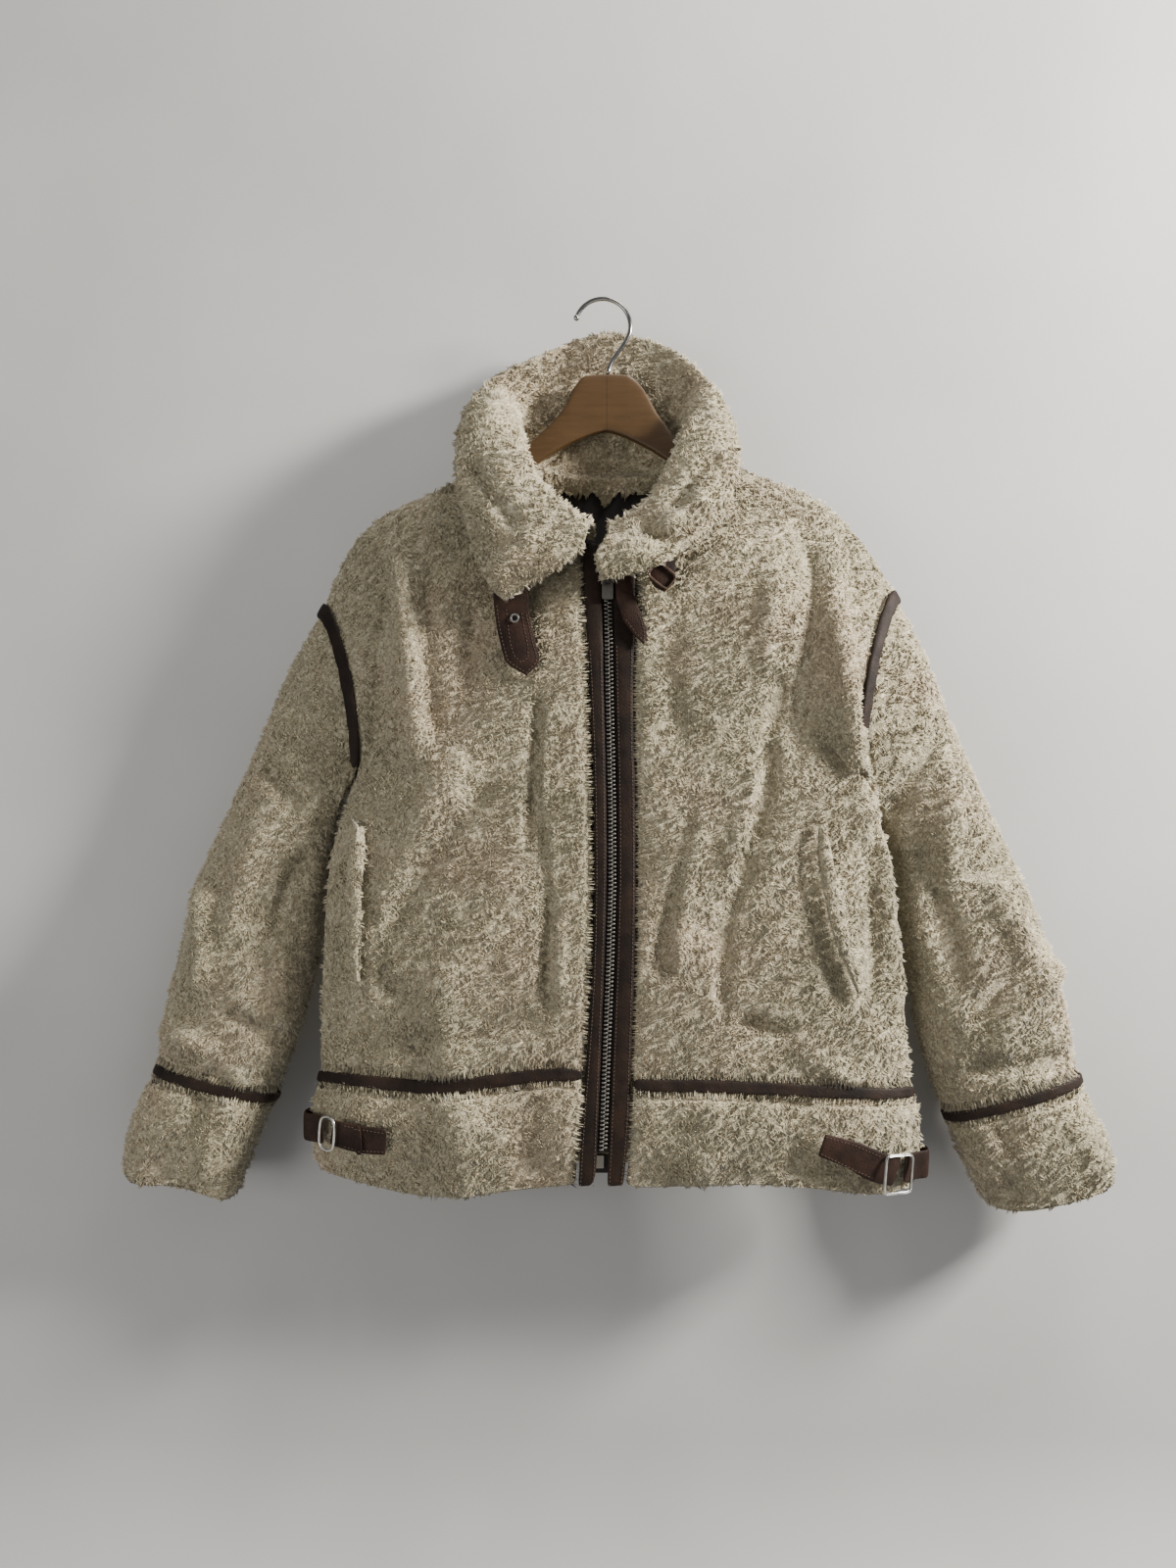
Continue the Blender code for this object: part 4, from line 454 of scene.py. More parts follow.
def crease_height(points, facing):
    """How far the creases lift each point, and how squarely each point faces their side."""
    x, z = points[:, 0] / MM, points[:, 2] / MM
    total = np.zeros(len(points))
    for rows, side in ((FRONT_CREASES, -1), (BACK_CREASES, 1)):
        square = np.clip(facing * side * 1.6, 0, 1)
        for x0, z0, x1, z1, width, height in rows:
            length = math.hypot(x1 - x0, z1 - z0)
            along = ((x - x0) * (x1 - x0) + (z - z0) * (z1 - z0)) / length**2
            across = ((x - x0) * (z1 - z0) - (z - z0) * (x1 - x0)) / length
            bend = 0.12 * length * np.sin(along * 2.6 + height) * 0.4
            ends = np.clip(np.minimum(along, 1 - along) * 5 + 0.7, 0, 1)
            uneven = 1 + 0.3 * np.sin(along * 7 + x0)
            shape = np.exp(-(((across + bend) / width) ** 2))
            total += square * height * CREASE_SHARE * uneven * ends**2 * (3 - 2 * ends) * shape
    return total * MM


print(len(FRONT_CREASES) + len(BACK_CREASES), "creases")

# %% Build the skins
LAPEL = {"x": 0.040, "z": -0.224, "soft": 0.016, "shift": 0.008}


def pull_lapel(co):
    """Brings the right lapel's end over the zip, as it lies in the photograph."""
    near = np.clip((LAPEL["x"] - co[:, 0]) / LAPEL["x"], 0, 1) * (co[:, 0] > -0.012)
    low = np.clip((LAPEL["z"] - co[:, 2]) / LAPEL["soft"], 0, 1)
    co[:, 0] -= LAPEL["shift"] * near * near * (3 - 2 * near) * low


def fold(made, name):
    """Applies the subdivision, then moves the fine points by the creases. The seams stay where they are."""
    graph = bpy.context.evaluated_depsgraph_get()
    mesh = bpy.data.meshes.new_from_object(made.evaluated_get(graph))
    made.modifiers.clear()
    made.data = mesh
    co = np.empty(len(mesh.vertices) * 3)
    mesh.vertices.foreach_get("co", co)
    co = co.reshape(-1, 3)
    up = np.empty(len(mesh.vertices) * 3)
    mesh.vertices.foreach_get("normal", up)
    up = up.reshape(-1, 3)
    kinds = np.empty(len(mesh.polygons), np.int32)
    mesh.attributes["kind"].data.foreach_get("value", kinds)
    shown = np.ones(len(co))
    for polygon, kind in zip(mesh.polygons, kinds):
        if kind != OUTER:
            shown[list(polygon.vertices)] = 0
    if name == "collar":
        pull_lapel(co)
    co += up * (crease_height(co, up[:, 1]) * shown)[:, None]
    mesh.vertices.foreach_set("co", co.ravel())
    mesh.update()


def build_skin(name):
    """The drawn-in skin of a panel. Each face keeps its kind as an attribute, which subdivision hands on."""
    bm = merged(name)
    kinds = [kind_of(name, f.calc_center_median(), f.normal) for f in bm.faces]
    coarse = BVHTree.FromBMesh(bm)
    stored = bm.faces.layers.int.new("kind")
    for f in bm.faces:
        f[stored] = kinds[f.index]
    moves = {}
    for v in bm.verts:
        shown = [f for f in v.link_faces if kinds[f.index] == OUTER]
        if not shown:
            continue
        way = -sum((f.normal * f.calc_area() for f in shown), Vector())
        if way.length == 0:
            continue
        way.normalize()
        _, _, _, through = coarse.ray_cast(v.co + way * 0.3 * MM, way)
        thick = (through or 0) + 0.3 * MM
        moves[v] = way * max(0.0, min(PILE_DEPTH, thick - THINNEST))
    for v, move in moves.items():
        v.co += move
    mesh = bpy.data.meshes.new(name + "_skin")
    bm.to_mesh(mesh)
    bm.free()
    mesh.polygons.foreach_set("use_smooth", [True] * len(mesh.polygons))
    made = bpy.data.objects.new(name + "_skin", mesh)
    bpy.context.scene.collection.objects.link(made)
    made.data.materials.append(SKIN)
    smooth = made.modifiers.new("smooth", "SUBSURF")
    smooth.levels = smooth.render_levels = 1 if name.startswith(("hem", "cuff", "pocket")) else 2
    fold(made, name)
    return made


skins = {}
for name in FLEECE:
    skins[name] = build_skin(name)
    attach(skins[name], "jacket")
    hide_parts(name)
print(len(skins), "skins")

# %% [markdown]
# Curly pile is thousands of short locks. Each is a three-sided spike, a few faces at most, set on the skin
# at random, leaning downwards with the nap and pulled towards its neighbours so that the tips gather into
# tufts. The points come from numpy, seeded so that each run gives the same coat.

# %% Where the locks stand
def unit(v):
    return v / np.maximum(np.linalg.norm(v, axis=-1, keepdims=True), 1e-12)


def sprinkle(made, spacing, seed):
    """Random points on the skin's outer side, no closer than about the spacing, with their normals."""
    graph = bpy.context.evaluated_depsgraph_get()
    mesh = made.evaluated_get(graph).to_mesh()
    mesh.calc_loop_triangles()
    co = np.empty(len(mesh.vertices) * 3)
    mesh.vertices.foreach_get("co", co)
    co = co.reshape(-1, 3)
    up = np.empty(len(mesh.vertices) * 3)
    mesh.vertices.foreach_get("normal", up)
    up = up.reshape(-1, 3)
    tri = np.empty(len(mesh.loop_triangles) * 3, np.int32)
    mesh.loop_triangles.foreach_get("vertices", tri)
    tri = tri.reshape(-1, 3)
    corner = co[tri]
    stored = np.empty(len(mesh.polygons), np.int32)
    mesh.attributes["kind"].data.foreach_get("value", stored)
    face_of = np.empty(len(tri), np.int32)
    mesh.loop_triangles.foreach_get("polygon_index", face_of)
    kind = stored[face_of]
    area = np.linalg.norm(np.cross(corner[:, 1] - corner[:, 0], corner[:, 2] - corner[:, 0]), axis=1) / 2
    area[kind == INNER] = 0
    rng = np.random.default_rng(seed)
    count = int(area.sum() / spacing**2 * 2.4)
    picked = rng.choice(len(tri), count, p=area / area.sum())
    a, b = rng.random((2, count, 1))
    flip = (a + b) > 1
    a, b = np.where(flip, 1 - a, a), np.where(flip, 1 - b, b)
    c = corner[picked]
    points = c[:, 0] + (c[:, 1] - c[:, 0]) * a + (c[:, 2] - c[:, 0]) * b
    n = up[tri[picked]]
    normals = unit(n[:, 0] + (n[:, 1] - n[:, 0]) * a + (n[:, 2] - n[:, 0]) * b)
    cells = np.floor(points / (spacing * 1.12)).astype(np.int64)
    _, first = np.unique(cells, axis=0, return_index=True)
    made.evaluated_get(graph).to_mesh_clear()
    return points[first], normals[first], float(area.sum())


# %% [markdown]
# Straps, bindings and buckles lie on the pile and press it flat. So a lock that would run into one of them
# is shortened to what room it has, and one right below a strap isn't grown at all.

# %% Tufts
def flow(points):
    """A slow swirl that the nap follows: the curl of a few sine waves, in each plane."""
    x, y, z = (points / (26 * MM)).T
    across = np.sin(z * 1.1 + 0.7 * np.sin(x * 0.9)) + 0.6 * np.sin(2.3 * z - 1.7 * x)
    along = np.sin(x * 1.3 + 0.8 * np.sin(z * 0.7)) + 0.6 * np.sin(1.9 * x + 1.2 * z + y)
    through = np.sin(x * 0.8 - z * 1.2 + y)
    return np.stack([across, through * 0.5, along - 1.1], axis=1)


def tufts(points, normals, length, rng):
    """Gathers the locks in tufts: for each lock its tuft's number, middle and tip."""
    chosen = rng.random(len(points)) < 1 / 5
    middles, ups = points[chosen], normals[chosen]
    tree = KDTree(len(middles))
    for k, p in enumerate(middles):
        tree.insert(p, k)
    tree.balance()
    near = np.array([tree.find(p)[1] for p in points])
    swirl = unit(flow(middles))
    swirl -= ups * (swirl * ups).sum(axis=1, keepdims=True)
    lean = unit(ups * 0.6 + swirl * 0.45 + rng.normal(size=middles.shape) * 0.42)
    tips = middles + lean * length * rng.uniform(0.75, 1.25, (len(middles), 1))
    return near, middles, tips


# %% Grow the locks
trims = BVHTree.FromPolygons(solid_points, [f for f, owner in zip(solid_faces, face_owner)
                                            if owner.startswith(("placket", "hem_binding", "cuff_binding"))])
TRIM_REACH = 7.5 * MM
FRINGE = {"over": 2.3 * MM, "least_rise": 1.6 * MM, "most_rise": 3.2 * MM}


def fringe(points, normals, tips, rng):
    """Turns the pile beside a leather strip so that its tips lie over the edge, some more than others."""
    for k, p in enumerate(points):
        place, _, _, far = trims.find_nearest(Vector(p), TRIM_REACH)
        if place is None or far < 0.2 * MM:
            continue
        way = np.array(place) - p
        climb = way @ normals[k]
        along = way - normals[k] * climb
        gap = np.linalg.norm(along)
        if gap < 0.3 * MM:
            continue
        reach = rng.uniform(0.3, 1.0) * (gap + FRINGE["over"])
        rise = max(climb, 0) + rng.uniform(FRINGE["least_rise"], FRINGE["most_rise"])
        tips[k] = p + along / gap * reach + normals[k] * rise
    return tips


def room_above(name, points, normals, length):
    room = np.empty(len(points))
    for k, (p, n) in enumerate(zip(points, normals)):
        met, reach = sees(Vector(p), Vector(n), 0.2 * MM)
        if met == name or (met in GROUPS.get(name, ()) and "binding" not in met and reach < length):
            met, reach = sees(Vector(p), Vector(n), reach + 0.8 * MM)
        room[k] = reach
    return room


NECK = {"wide": 0.062, "low": -0.2, "high": -0.112, "front": -0.012, "room": 3.2 * MM}


def grow(name, points, normals, length, width, seed):
    rng = np.random.default_rng(seed)
    room = room_above(name, points, normals, length)
    x, y, z = points.T
    in_neck = (abs(x) < NECK["wide"]) & (z > NECK["low"]) & (z < NECK["high"]) & (y > NECK["front"])
    room[in_neck] = np.maximum(room[in_neck], NECK["room"])
    keep = room > 1.8 * MM
    points, normals, room = points[keep], normals[keep], room[keep]
    count = len(points)
    near, middles, tips = tufts(points, normals, length, rng)
    tip = tips[near] + (points - middles[near]) * 0.55 + rng.normal(size=(count, 3)) * 0.45 * MM
    rise = tip - points
    tall = np.linalg.norm(rise, axis=1, keepdims=True)
    most = np.minimum(length * 1.35, np.maximum(room * 1.1, 1.2 * MM))[:, None]
    lean = rise / tall
    tip = points + lean * np.minimum(tall, most)
    if name not in ("collar", "neck"):
        tip = fringe(points, normals, tip, rng)
    if name == "neck":
        tip[:, 2] -= rng.uniform(0.5, 4.5, count) * MM
    side = unit(np.cross(lean, rng.normal(size=(count, 3))))
    other = np.cross(lean, side)
    wide = width * rng.uniform(0.7, 1.3, (count, 1))
    ring = []
    for turn in range(3):
        a = 2 * math.pi * turn / 3
        ring.append(points - normals * 0.6 * MM + (side * math.cos(a) + other * math.sin(a)) * wide)
    co = np.stack(ring + [tip], axis=1).reshape(-1, 3)
    start = np.arange(count)[:, None] * 4
    faces = np.concatenate([start + np.array([[k, (k + 1) % 3, 3]]) for k in range(3)]).astype(np.int32)
    mesh = bpy.data.meshes.new(name + "_locks")
    mesh.vertices.add(len(co))
    mesh.vertices.foreach_set("co", co.ravel())
    mesh.loops.add(faces.size)
    mesh.loops.foreach_set("vertex_index", faces.ravel())
    mesh.polygons.add(len(faces))
    mesh.polygons.foreach_set("loop_start", np.arange(len(faces), dtype=np.int32) * 3)
    mesh.polygons.foreach_set("use_smooth", np.ones(len(faces), bool))
    mesh.update(calc_edges=True)
    # Each lock is dark at its root and light at its tip: painted shade deep between the locks. On top of it
    # every tuft and every lock gets a random tone.
    tone_and_shade = mesh.attributes.new("tone_and_shade", "FLOAT", "POINT")
    own_tone = rng.uniform(-0.13, 0.13, len(middles))[near] + rng.uniform(-0.08, 0.08, count)
    values = np.stack([0.2 + own_tone * 0.5] * 3 + [0.84 + own_tone], axis=1)
    tone_and_shade.data.foreach_set("value", np.clip(values, 0, 1).ravel())
    mesh.materials.append(LOCKS)
    made = bpy.data.objects.new(name + "_locks", mesh)
    bpy.context.scene.collection.objects.link(made)
    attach(made, "jacket")
    return made


SPACING = 2.0 * MM
LOCK_LENGTH = {"collar": 4.4}
LOCK_WIDTH = 1.0 * MM
locks, total = {}, 0
for seed, name in enumerate(FLEECE):
    points, normals, area = sprinkle(skins[name], SPACING, 40 + seed)
    piece = grow(name, points, normals, LOCK_LENGTH.get(name, 3.9) * MM, LOCK_WIDTH, 80 + seed)
    locks[name] = piece
    total += len(piece.data.polygons)
    print(name, "area", round(area, 4), "locks", len(piece.data.polygons) // 3)
print("lock faces in all", total)

# %% [markdown]
# Inside the neck the collar's foot hangs a little over the dark facing, with one tuft at the middle. It is
# grown on the facing itself, down to a line that dips at the tuft.

# %% Pile over the neck facing
NECK_FILL = {"steps": 5, "step": (0, 2.6 * MM, 1.9 * MM), "skew": Vector((1, 3.77, 7.31))}
bm = merged("back_neck_facing")
bmesh.ops.delete(bm, geom=[f for f in bm.faces if f.normal.y > -0.3], context="FACES")
bmesh.ops.triangulate(bm, faces=bm.faces)
for _ in range(4):
    long = [e for e in bm.edges if e.calc_length() > 3 * MM]
    bmesh.ops.subdivide_edges(bm, edges=long, cuts=1)
    bmesh.ops.triangulate(bm, faces=bm.faces)


def neck_line(x):
    """How low the fleece reaches on the facing, with the tuft at the middle. In millimetres."""
    return -171 - 12 * math.exp(-(((x - 3) / 5) ** 2)) + 1.5 * math.sin(x * 0.5)


low = [f for f in bm.faces if f.calc_center_median().z / MM < neck_line(f.calc_center_median().x / MM)]
bmesh.ops.delete(bm, geom=low, context="FACES")
bmesh.ops.translate(bm, verts=bm.verts, vec=(0, -2.2 * MM, 0))
rim = []
for e in bm.edges:
    way = e.verts[1].co - e.verts[0].co
    middle = (e.verts[0].co + e.verts[1].co) / 2
    if e.is_boundary and middle.z > e.link_faces[0].calc_center_median().z and abs(way.z) < abs(way.x) * 1.2:
        rim.append(e)
for _ in range(NECK_FILL["steps"]):
    swept = bmesh.ops.extrude_edge_only(bm, edges=rim)["geom"]
    fresh = {v for v in swept if isinstance(v, bmesh.types.BMVert)}
    bmesh.ops.translate(bm, verts=list(fresh), vec=NECK_FILL["step"])
    rim = [e for e in swept if isinstance(e, bmesh.types.BMEdge) and set(e.verts) <= fresh]
bm.faces.layers.int.new("kind")
# Extruding makes its faces in an order that changes from run to run, and the pile's seeded points follow
# it. So the faces are put in order along a skewed line, on which no two of them lie level.
bm.faces.sort(key=lambda f: f.calc_center_median().dot(NECK_FILL["skew"]))
mesh = bpy.data.meshes.new("neck_skin")
bm.to_mesh(mesh)
bm.free()
mesh.polygons.foreach_set("use_smooth", [True] * len(mesh.polygons))
mesh.materials.append(SKIN)
neck_skin = bpy.data.objects.new("neck_skin", mesh)
bpy.context.scene.collection.objects.link(neck_skin)
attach(neck_skin, "jacket")
points, normals, _ = sprinkle(neck_skin, SPACING * 0.8, 60)
grow("neck", points, normals, 4.4 * MM, LOCK_WIDTH, 61)

# %% [markdown]
# Every panel is cloth, so its cut is written down: its width and length before sewing. Each skin's half
# surface is printed beside the area of that rectangle.

# %% The cuts
CUTS = {
    "front_left": (0.25, 0.53), "front_right": (0.25, 0.53), "back": (0.52, 0.57),
    "hem_front_left": (0.25, 0.09), "hem_front_right": (0.25, 0.09), "hem_back": (0.52, 0.095),
    "sleeve_left": (0.235, 0.46), "sleeve_right": (0.25, 0.47), "cuff_left": (0.27, 0.10),
    "cuff_right": (0.29, 0.10), "collar": (0.56, 0.12), "pocket_welt_left": (0.014, 0.15),
    "pocket_welt_right": (0.014, 0.15),
}


def skin_area(made):
    graph = bpy.context.evaluated_depsgraph_get()
    mesh = made.evaluated_get(graph).to_mesh()
    area = sum(p.area for p in mesh.polygons) / 2
    made.evaluated_get(graph).to_mesh_clear()
    return area


for name, flat in CUTS.items():
    made = skins[name]
    area = skin_area(made)
    print(name, "half surface", round(area, 4), "of", round(flat[0] * flat[1], 4))

# %% [markdown]
# The leather trims keep their solids' forms. Each is welded, smoothed and given its hide, and the flat
# straps get a small bevel, because a cut edge of thick leather is rounded and catches a thin line of light.

# %% Smooth the leather
def wrinkle(mesh, size_mm, depth_mm, seed):
    """Puckers along a strip: noise in space that moves the points along their normals."""
    for v in mesh.vertices:
        place = v.co / (size_mm * MM) + Vector((seed * 7.3, 0, 0))
        swell = mathutils_noise.noise(place) + 0.5 * mathutils_noise.noise(place * 2.3)
        v.co += v.normal * swell * depth_mm * MM
    mesh.update()


def refined(name, material, level=2, bevel_mm=0.0, pucker=0.0, body="jacket"):
    bm = merged(name)
    if bevel_mm:
        sharp = [e for e in bm.edges if e.calc_face_angle(0) > math.radians(40)]
        bmesh.ops.bevel(bm, geom=sharp, offset=bevel_mm * MM,
                    segments=2, profile=0.5, affect="EDGES", material=-1)
    mesh = bpy.data.meshes.new(name + "_dressed")
    bm.to_mesh(mesh)
    bm.free()
    mesh.polygons.foreach_set("use_smooth", [True] * len(mesh.polygons))
    mesh.materials.append(material)
    made = bpy.data.objects.new(name + "_dressed", mesh)
    bpy.context.scene.collection.objects.link(made)
    if level:
        smooth = made.modifiers.new("smooth", "SUBSURF")
        smooth.levels = smooth.render_levels = level
        graph = bpy.context.evaluated_depsgraph_get()
        made.data = bpy.data.meshes.new_from_object(made.evaluated_get(graph))
        made.modifiers.clear()
    if pucker:
        wrinkle(made.data, 11, pucker, len(name))
    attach(made, body)
    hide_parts(name)
    return made


def widen(mesh, by_mm):
    """Moves a strip's long edges apart: every point goes out along its normal, but mostly sideways."""
    for v in mesh.vertices:
        v.co += Vector((v.normal.x, v.normal.y * 0.3, v.normal.z)) * by_mm * MM
    mesh.update()


dressed = {}
for name in nodes:
    if "binding" in name:
        dressed[name] = refined(name, LEATHER, 2, pucker=0.75)
        if name.startswith("armhole"):
            widen(dressed[name].data, 1.1)
    elif name.startswith("placket"):
        dressed[name] = refined(name, LEATHER, 2, pucker=0.35)
    elif name.startswith(("hem_strap", "hem_tab", "hem_keeper")):
        dressed[name] = refined(name, STRAP_LEATHER, 2, pucker=0.2)
    elif name == "hem_buckle_right":
        dressed[name] = refined(name, NICKEL, 0, bevel_mm=0.5)
    elif name in ("hem_buckle_left", "collar_buckle"):
        dressed[name] = refined(name, DARK_METAL if name == "collar_buckle" else NICKEL, 2)
    elif name in ("collar_strap_left", "collar_strap_right", "collar_buckle_strap"):
        dressed[name] = refined(name, STRAP_LEATHER, 0, bevel_mm=0.5)
print(len(dressed), "trims dressed,", sum(len(piece.data.polygons) for piece in dressed.values()), "faces")

# %% [markdown]
# The hanger's board is two arms glued at a mitre, so its underside comes to a point at the joint. The
# solid's arch is round there, and a small lift of the underside's points near the joint makes the peak.

# %% The board's peak
board = refined("hanger", WOOD, 2)
PEAK = {"reach": 22.0, "lift": 3.4}
for v in board.data.vertices:
    away = abs(v.co.x / MM - JOINT_X) / PEAK["reach"]
    if away < 1 and v.co.z < -0.098:
        v.co.z += PEAK["lift"] * MM * (1 - away) * min(1.0, (-0.098 - v.co.z) / 0.015)
board.data.update()

# %% [markdown]
# The hook is spring wire, bent round three quarters of a circle with a small ball at its free end. It
# is drawn as a curve with a round bevel, whose steps are fine enough to look turned.

# %% The hook
HOOK_CENTRE, HOOK_RADIUS, WIRE = -22.8, 24.8, 2.0
turns = [math.radians(a) for a in range(162, -21, -6)]
path = [Vector((HOOK_RADIUS * math.cos(a), 0, HOOK_CENTRE + HOOK_RADIUS * math.sin(a))) for a in turns]
SHANK = ((21.2, -36), (16.5, -43), (11.2, -49.5), (7.2, -56), (5.2, -61), (4.6, -66))
path += [Vector((x, 0, z)) for x, z in SHANK]
curve = bpy.data.curves.new("hook_wire", "CURVE")
curve.dimensions = "3D"
curve.bevel_depth = WIRE * MM
curve.bevel_resolution = 5
curve.use_fill_caps = True
spline = curve.splines.new("NURBS")
spline.points.add(len(path) - 1)
for point, place in zip(spline.points, path):
    point.co = (*(place * MM), 1)
spline.order_u = 4
spline.use_endpoint_u = True
spline.resolution_u = 4
drawn = bpy.data.objects.new("hook_curve", curve)
bm = bmesh.new()
bpy.context.scene.collection.objects.link(drawn)
graph = bpy.context.evaluated_depsgraph_get()
bm.from_mesh(bpy.data.meshes.new_from_object(drawn.evaluated_get(graph)))
bpy.data.objects.remove(drawn)
bmesh.ops.remove_doubles(bm, verts=bm.verts, dist=1e-6)
ball = bmesh.ops.create_uvsphere(bm, u_segments=16, v_segments=10, radius=2.7 * MM)
bmesh.ops.translate(bm, verts=ball["verts"], vec=path[0] * MM)
mesh = bpy.data.meshes.new("hook")
bm.to_mesh(mesh)
bm.free()
mesh.polygons.foreach_set("use_smooth", [True] * len(mesh.polygons))
mesh.materials.append(SPRING_WIRE)
hook = bpy.data.objects.new("hook", mesh)
bpy.context.scene.collection.objects.link(hook)
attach(hook, "jacket")
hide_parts("hanger_hook")

# %% [markdown]
# A zip's chain is two rows of small metal teeth that mesh like fingers, and a seam is a row of short
# stitches. Both are one small shape set many times, so one mesh is copied with numpy into all its places
# and joined, which is far lighter than hundreds of objects.

# %% Copies of a small shape
def repeated(name, bm, places, material):
    """One mesh of a small shape set at each 4x4 place."""
    points = np.array([(*v.co, 1) for v in bm.verts])
    shape = [[v.index for v in f.verts] for f in bm.faces]
    bm.free()
    moved = np.concatenate([points @ np.array(place).T for place in places])[:, :3]
    faces = [[i + k * len(points) for i in face] for k in range(len(places)) for face in shape]
    mesh = bpy.data.meshes.new(name)
    mesh.from_pydata(moved.tolist(), [], faces)
    mesh.polygons.foreach_set("use_smooth", [True] * len(mesh.polygons))
    mesh.materials.append(material)
    made = bpy.data.objects.new(name, mesh)
    bpy.context.scene.collection.objects.link(made)
    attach(made, "jacket")
    print(name, len(places), "copies,", len(mesh.polygons), "faces")
    return made


def on_front(x, z):
    """Where a line from the front first meets the solids, and the surface's normal there. In millimetres."""
    place, normal, _, _ = all_solids.ray_cast(Vector((x, -300, z)) * MM, Vector((0, 1, 0)))
    return place, normal


# %% The zip's teeth
ZIP_LINE = ((-778, -2), (-735, 0), (-670, 2.5), (-585, 5.8), (-520, 7.7), (-460, 7.6), (-360, 5.5), (-275, 4),
            (-215, 3))
PITCH, TOOTH = 3.5, (3.7, 2.4, 1.5)
low, high = (corner.z / MM for corner in map(Vector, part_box("zip_chain")))
chain = BVHTree.FromPolygons([v.co.copy() for v in nodes["zip_chain"].data.vertices],
                             [list(p.vertices) for p in nodes["zip_chain"].data.polygons])
bm = bmesh.new()
bmesh.ops.create_cube(bm, size=1)
bmesh.ops.scale(bm, verts=bm.verts, vec=[side * MM for side in TOOTH])
bmesh.ops.bevel(bm, geom=bm.edges, offset=0.35 * MM, segments=1, profile=0.5, affect="EDGES", material=-1)
places = []
for k in range(int((high - low - 4) / PITCH * 2)):
    z = low + 3 + k * PITCH / 2
    x = float(np.interp(z, *np.array(ZIP_LINE).T))
    met, _, _, _ = chain.ray_cast(Vector((x, -300, z)) * MM, Vector((0, 1, 0)))
    side = 1 if k % 2 else -1
    places.append(Matrix.Translation((x * MM + side * 1.5 * MM, met.y + 0.6 * MM, z * MM)))
teeth = repeated("zip_teeth", bm, places, ZIP_METAL)
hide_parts("zip_chain")


# %% The zip's foot
def block(name, size_mm, place_mm, material, bevel_mm):
    """A bevelled block at a place, in millimetres."""
    bm = bmesh.new()
    bmesh.ops.create_cube(bm, size=1)
    bmesh.ops.scale(bm, verts=bm.verts, vec=[side * MM for side in size_mm])
    bmesh.ops.bevel(bm, geom=bm.edges, offset=bevel_mm * MM,
                    segments=2, profile=0.5, affect="EDGES", material=-1)
    bmesh.ops.translate(bm, verts=bm.verts, vec=[c * MM for c in place_mm])
    mesh = bpy.data.meshes.new(name)
    bm.to_mesh(mesh)
    bm.free()
    mesh.materials.append(material)
    made = bpy.data.objects.new(name, mesh)
    bpy.context.scene.collection.objects.link(made)
    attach(made, "jacket")
    return made


foot_y = on_front(-2, -772)[0].y / MM
block("zip_box", (7.5, 3, 12), (-2.6, foot_y + 0.4, -776.5), ZIP_METAL, 0.5)
block("zip_tape_foot", (22, 0.8, 17), (-2.8, foot_y + 2.4, -779), TAPE, 0.2)


# %% Stitches
def walk(line, pitch):
    """Points at equal steps along a line of (x, z) points."""
    line = np.array(line, float)
    run = np.concatenate([[0], np.cumsum(np.linalg.norm(np.diff(line, axis=0), axis=1))])
    at = np.arange(pitch / 2, run[-1], pitch)
    return np.stack([np.interp(at, run, line[:, 0]), np.interp(at, run, line[:, 1])], axis=1)


def stitch_places(line, pitch=3.3, lift=0.1):
    spots = walk(line, pitch)
    found = []
    for k, (x, z) in enumerate(spots):
        place, normal = on_front(x, z)
        ahead = spots[min(k + 1, len(spots) - 1)] - spots[max(k - 1, 0)]
        along = Vector((ahead[0], 0, ahead[1])).normalized()
        along = (along - normal * along.dot(normal)).normalized()
        turn = Matrix((along, normal.cross(along), normal)).transposed()
        found.append(Matrix.Translation(place + normal * lift * MM) @ turn.to_4x4())
    return found


def inset(outline, by):
    """An open outline moved towards its own middle."""
    line = np.array(outline, float)
    run = np.gradient(line, axis=0)
    side = unit(np.stack([-run[:, 1], run[:, 0]], axis=1))
    middle = line.mean(axis=0)
    side *= np.sign((side * (middle - line)).sum(axis=1, keepdims=True))
    return line + side * by


def placket_edges(name, by):
    """Two lines, each a little inside one edge of a placket."""
    rows = {}
    for v in nodes[name].data.vertices:
        rows.setdefault(round(v.co.z / MM, 1), []).append(v.co.x / MM)
    rows = sorted((z, min(xs), max(xs)) for z, xs in rows.items() if z < -300)
    return [(x0 + by, z) for z, x0, _ in rows], [(x1 - by, z) for z, _, x1 in rows]


LEFT_STRAP = ((-93.7, -281), (-91.2, -300), (-88.7, -312), (-84.5, -328), (-80, -333), (-66, -341),
              (-57, -333), (-54.3, -326), (-58.5, -311), (-61, -300), (-63.5, -288))
RIGHT_STRAP = ((17, -293), (25.4, -304.7), (34.6, -314), (37, -309), (37.1, -301), (34.6, -293), (31, -284))
seams = [inset(LEFT_STRAP, 2.4), inset(RIGHT_STRAP, 2.2)]
inner_u = [(-83, -284), (-81.5, -300), (-79.5, -314), (-76.5, -324), (-70.5, -330), (-64.5, -326),
           (-64.5, -316), (-68, -300), (-70, -286)]
seams.append(inner_u)
for name, edge in (("placket_left", 2.2), ("placket_right", 2.2)):
    seams += placket_edges(name, edge)
for line in (((-186, -730), (-208, -727), (-222, -725)), ((-186, -746), (-208, -745.5), (-222, -743)),
             ((187, -732), (213, -740), (236, -751)), ((183, -746), (208, -759), (230, -770))):
    seams.append(line)
bm = bmesh.new()
bmesh.ops.create_icosphere(bm, subdivisions=1, radius=1)
bmesh.ops.scale(bm, verts=bm.verts, vec=(1.25 * MM, 0.38 * MM, 0.3 * MM))
spots = [place for line in seams for place in stitch_places(line)]
repeated("stitches", bm, spots, THREAD)
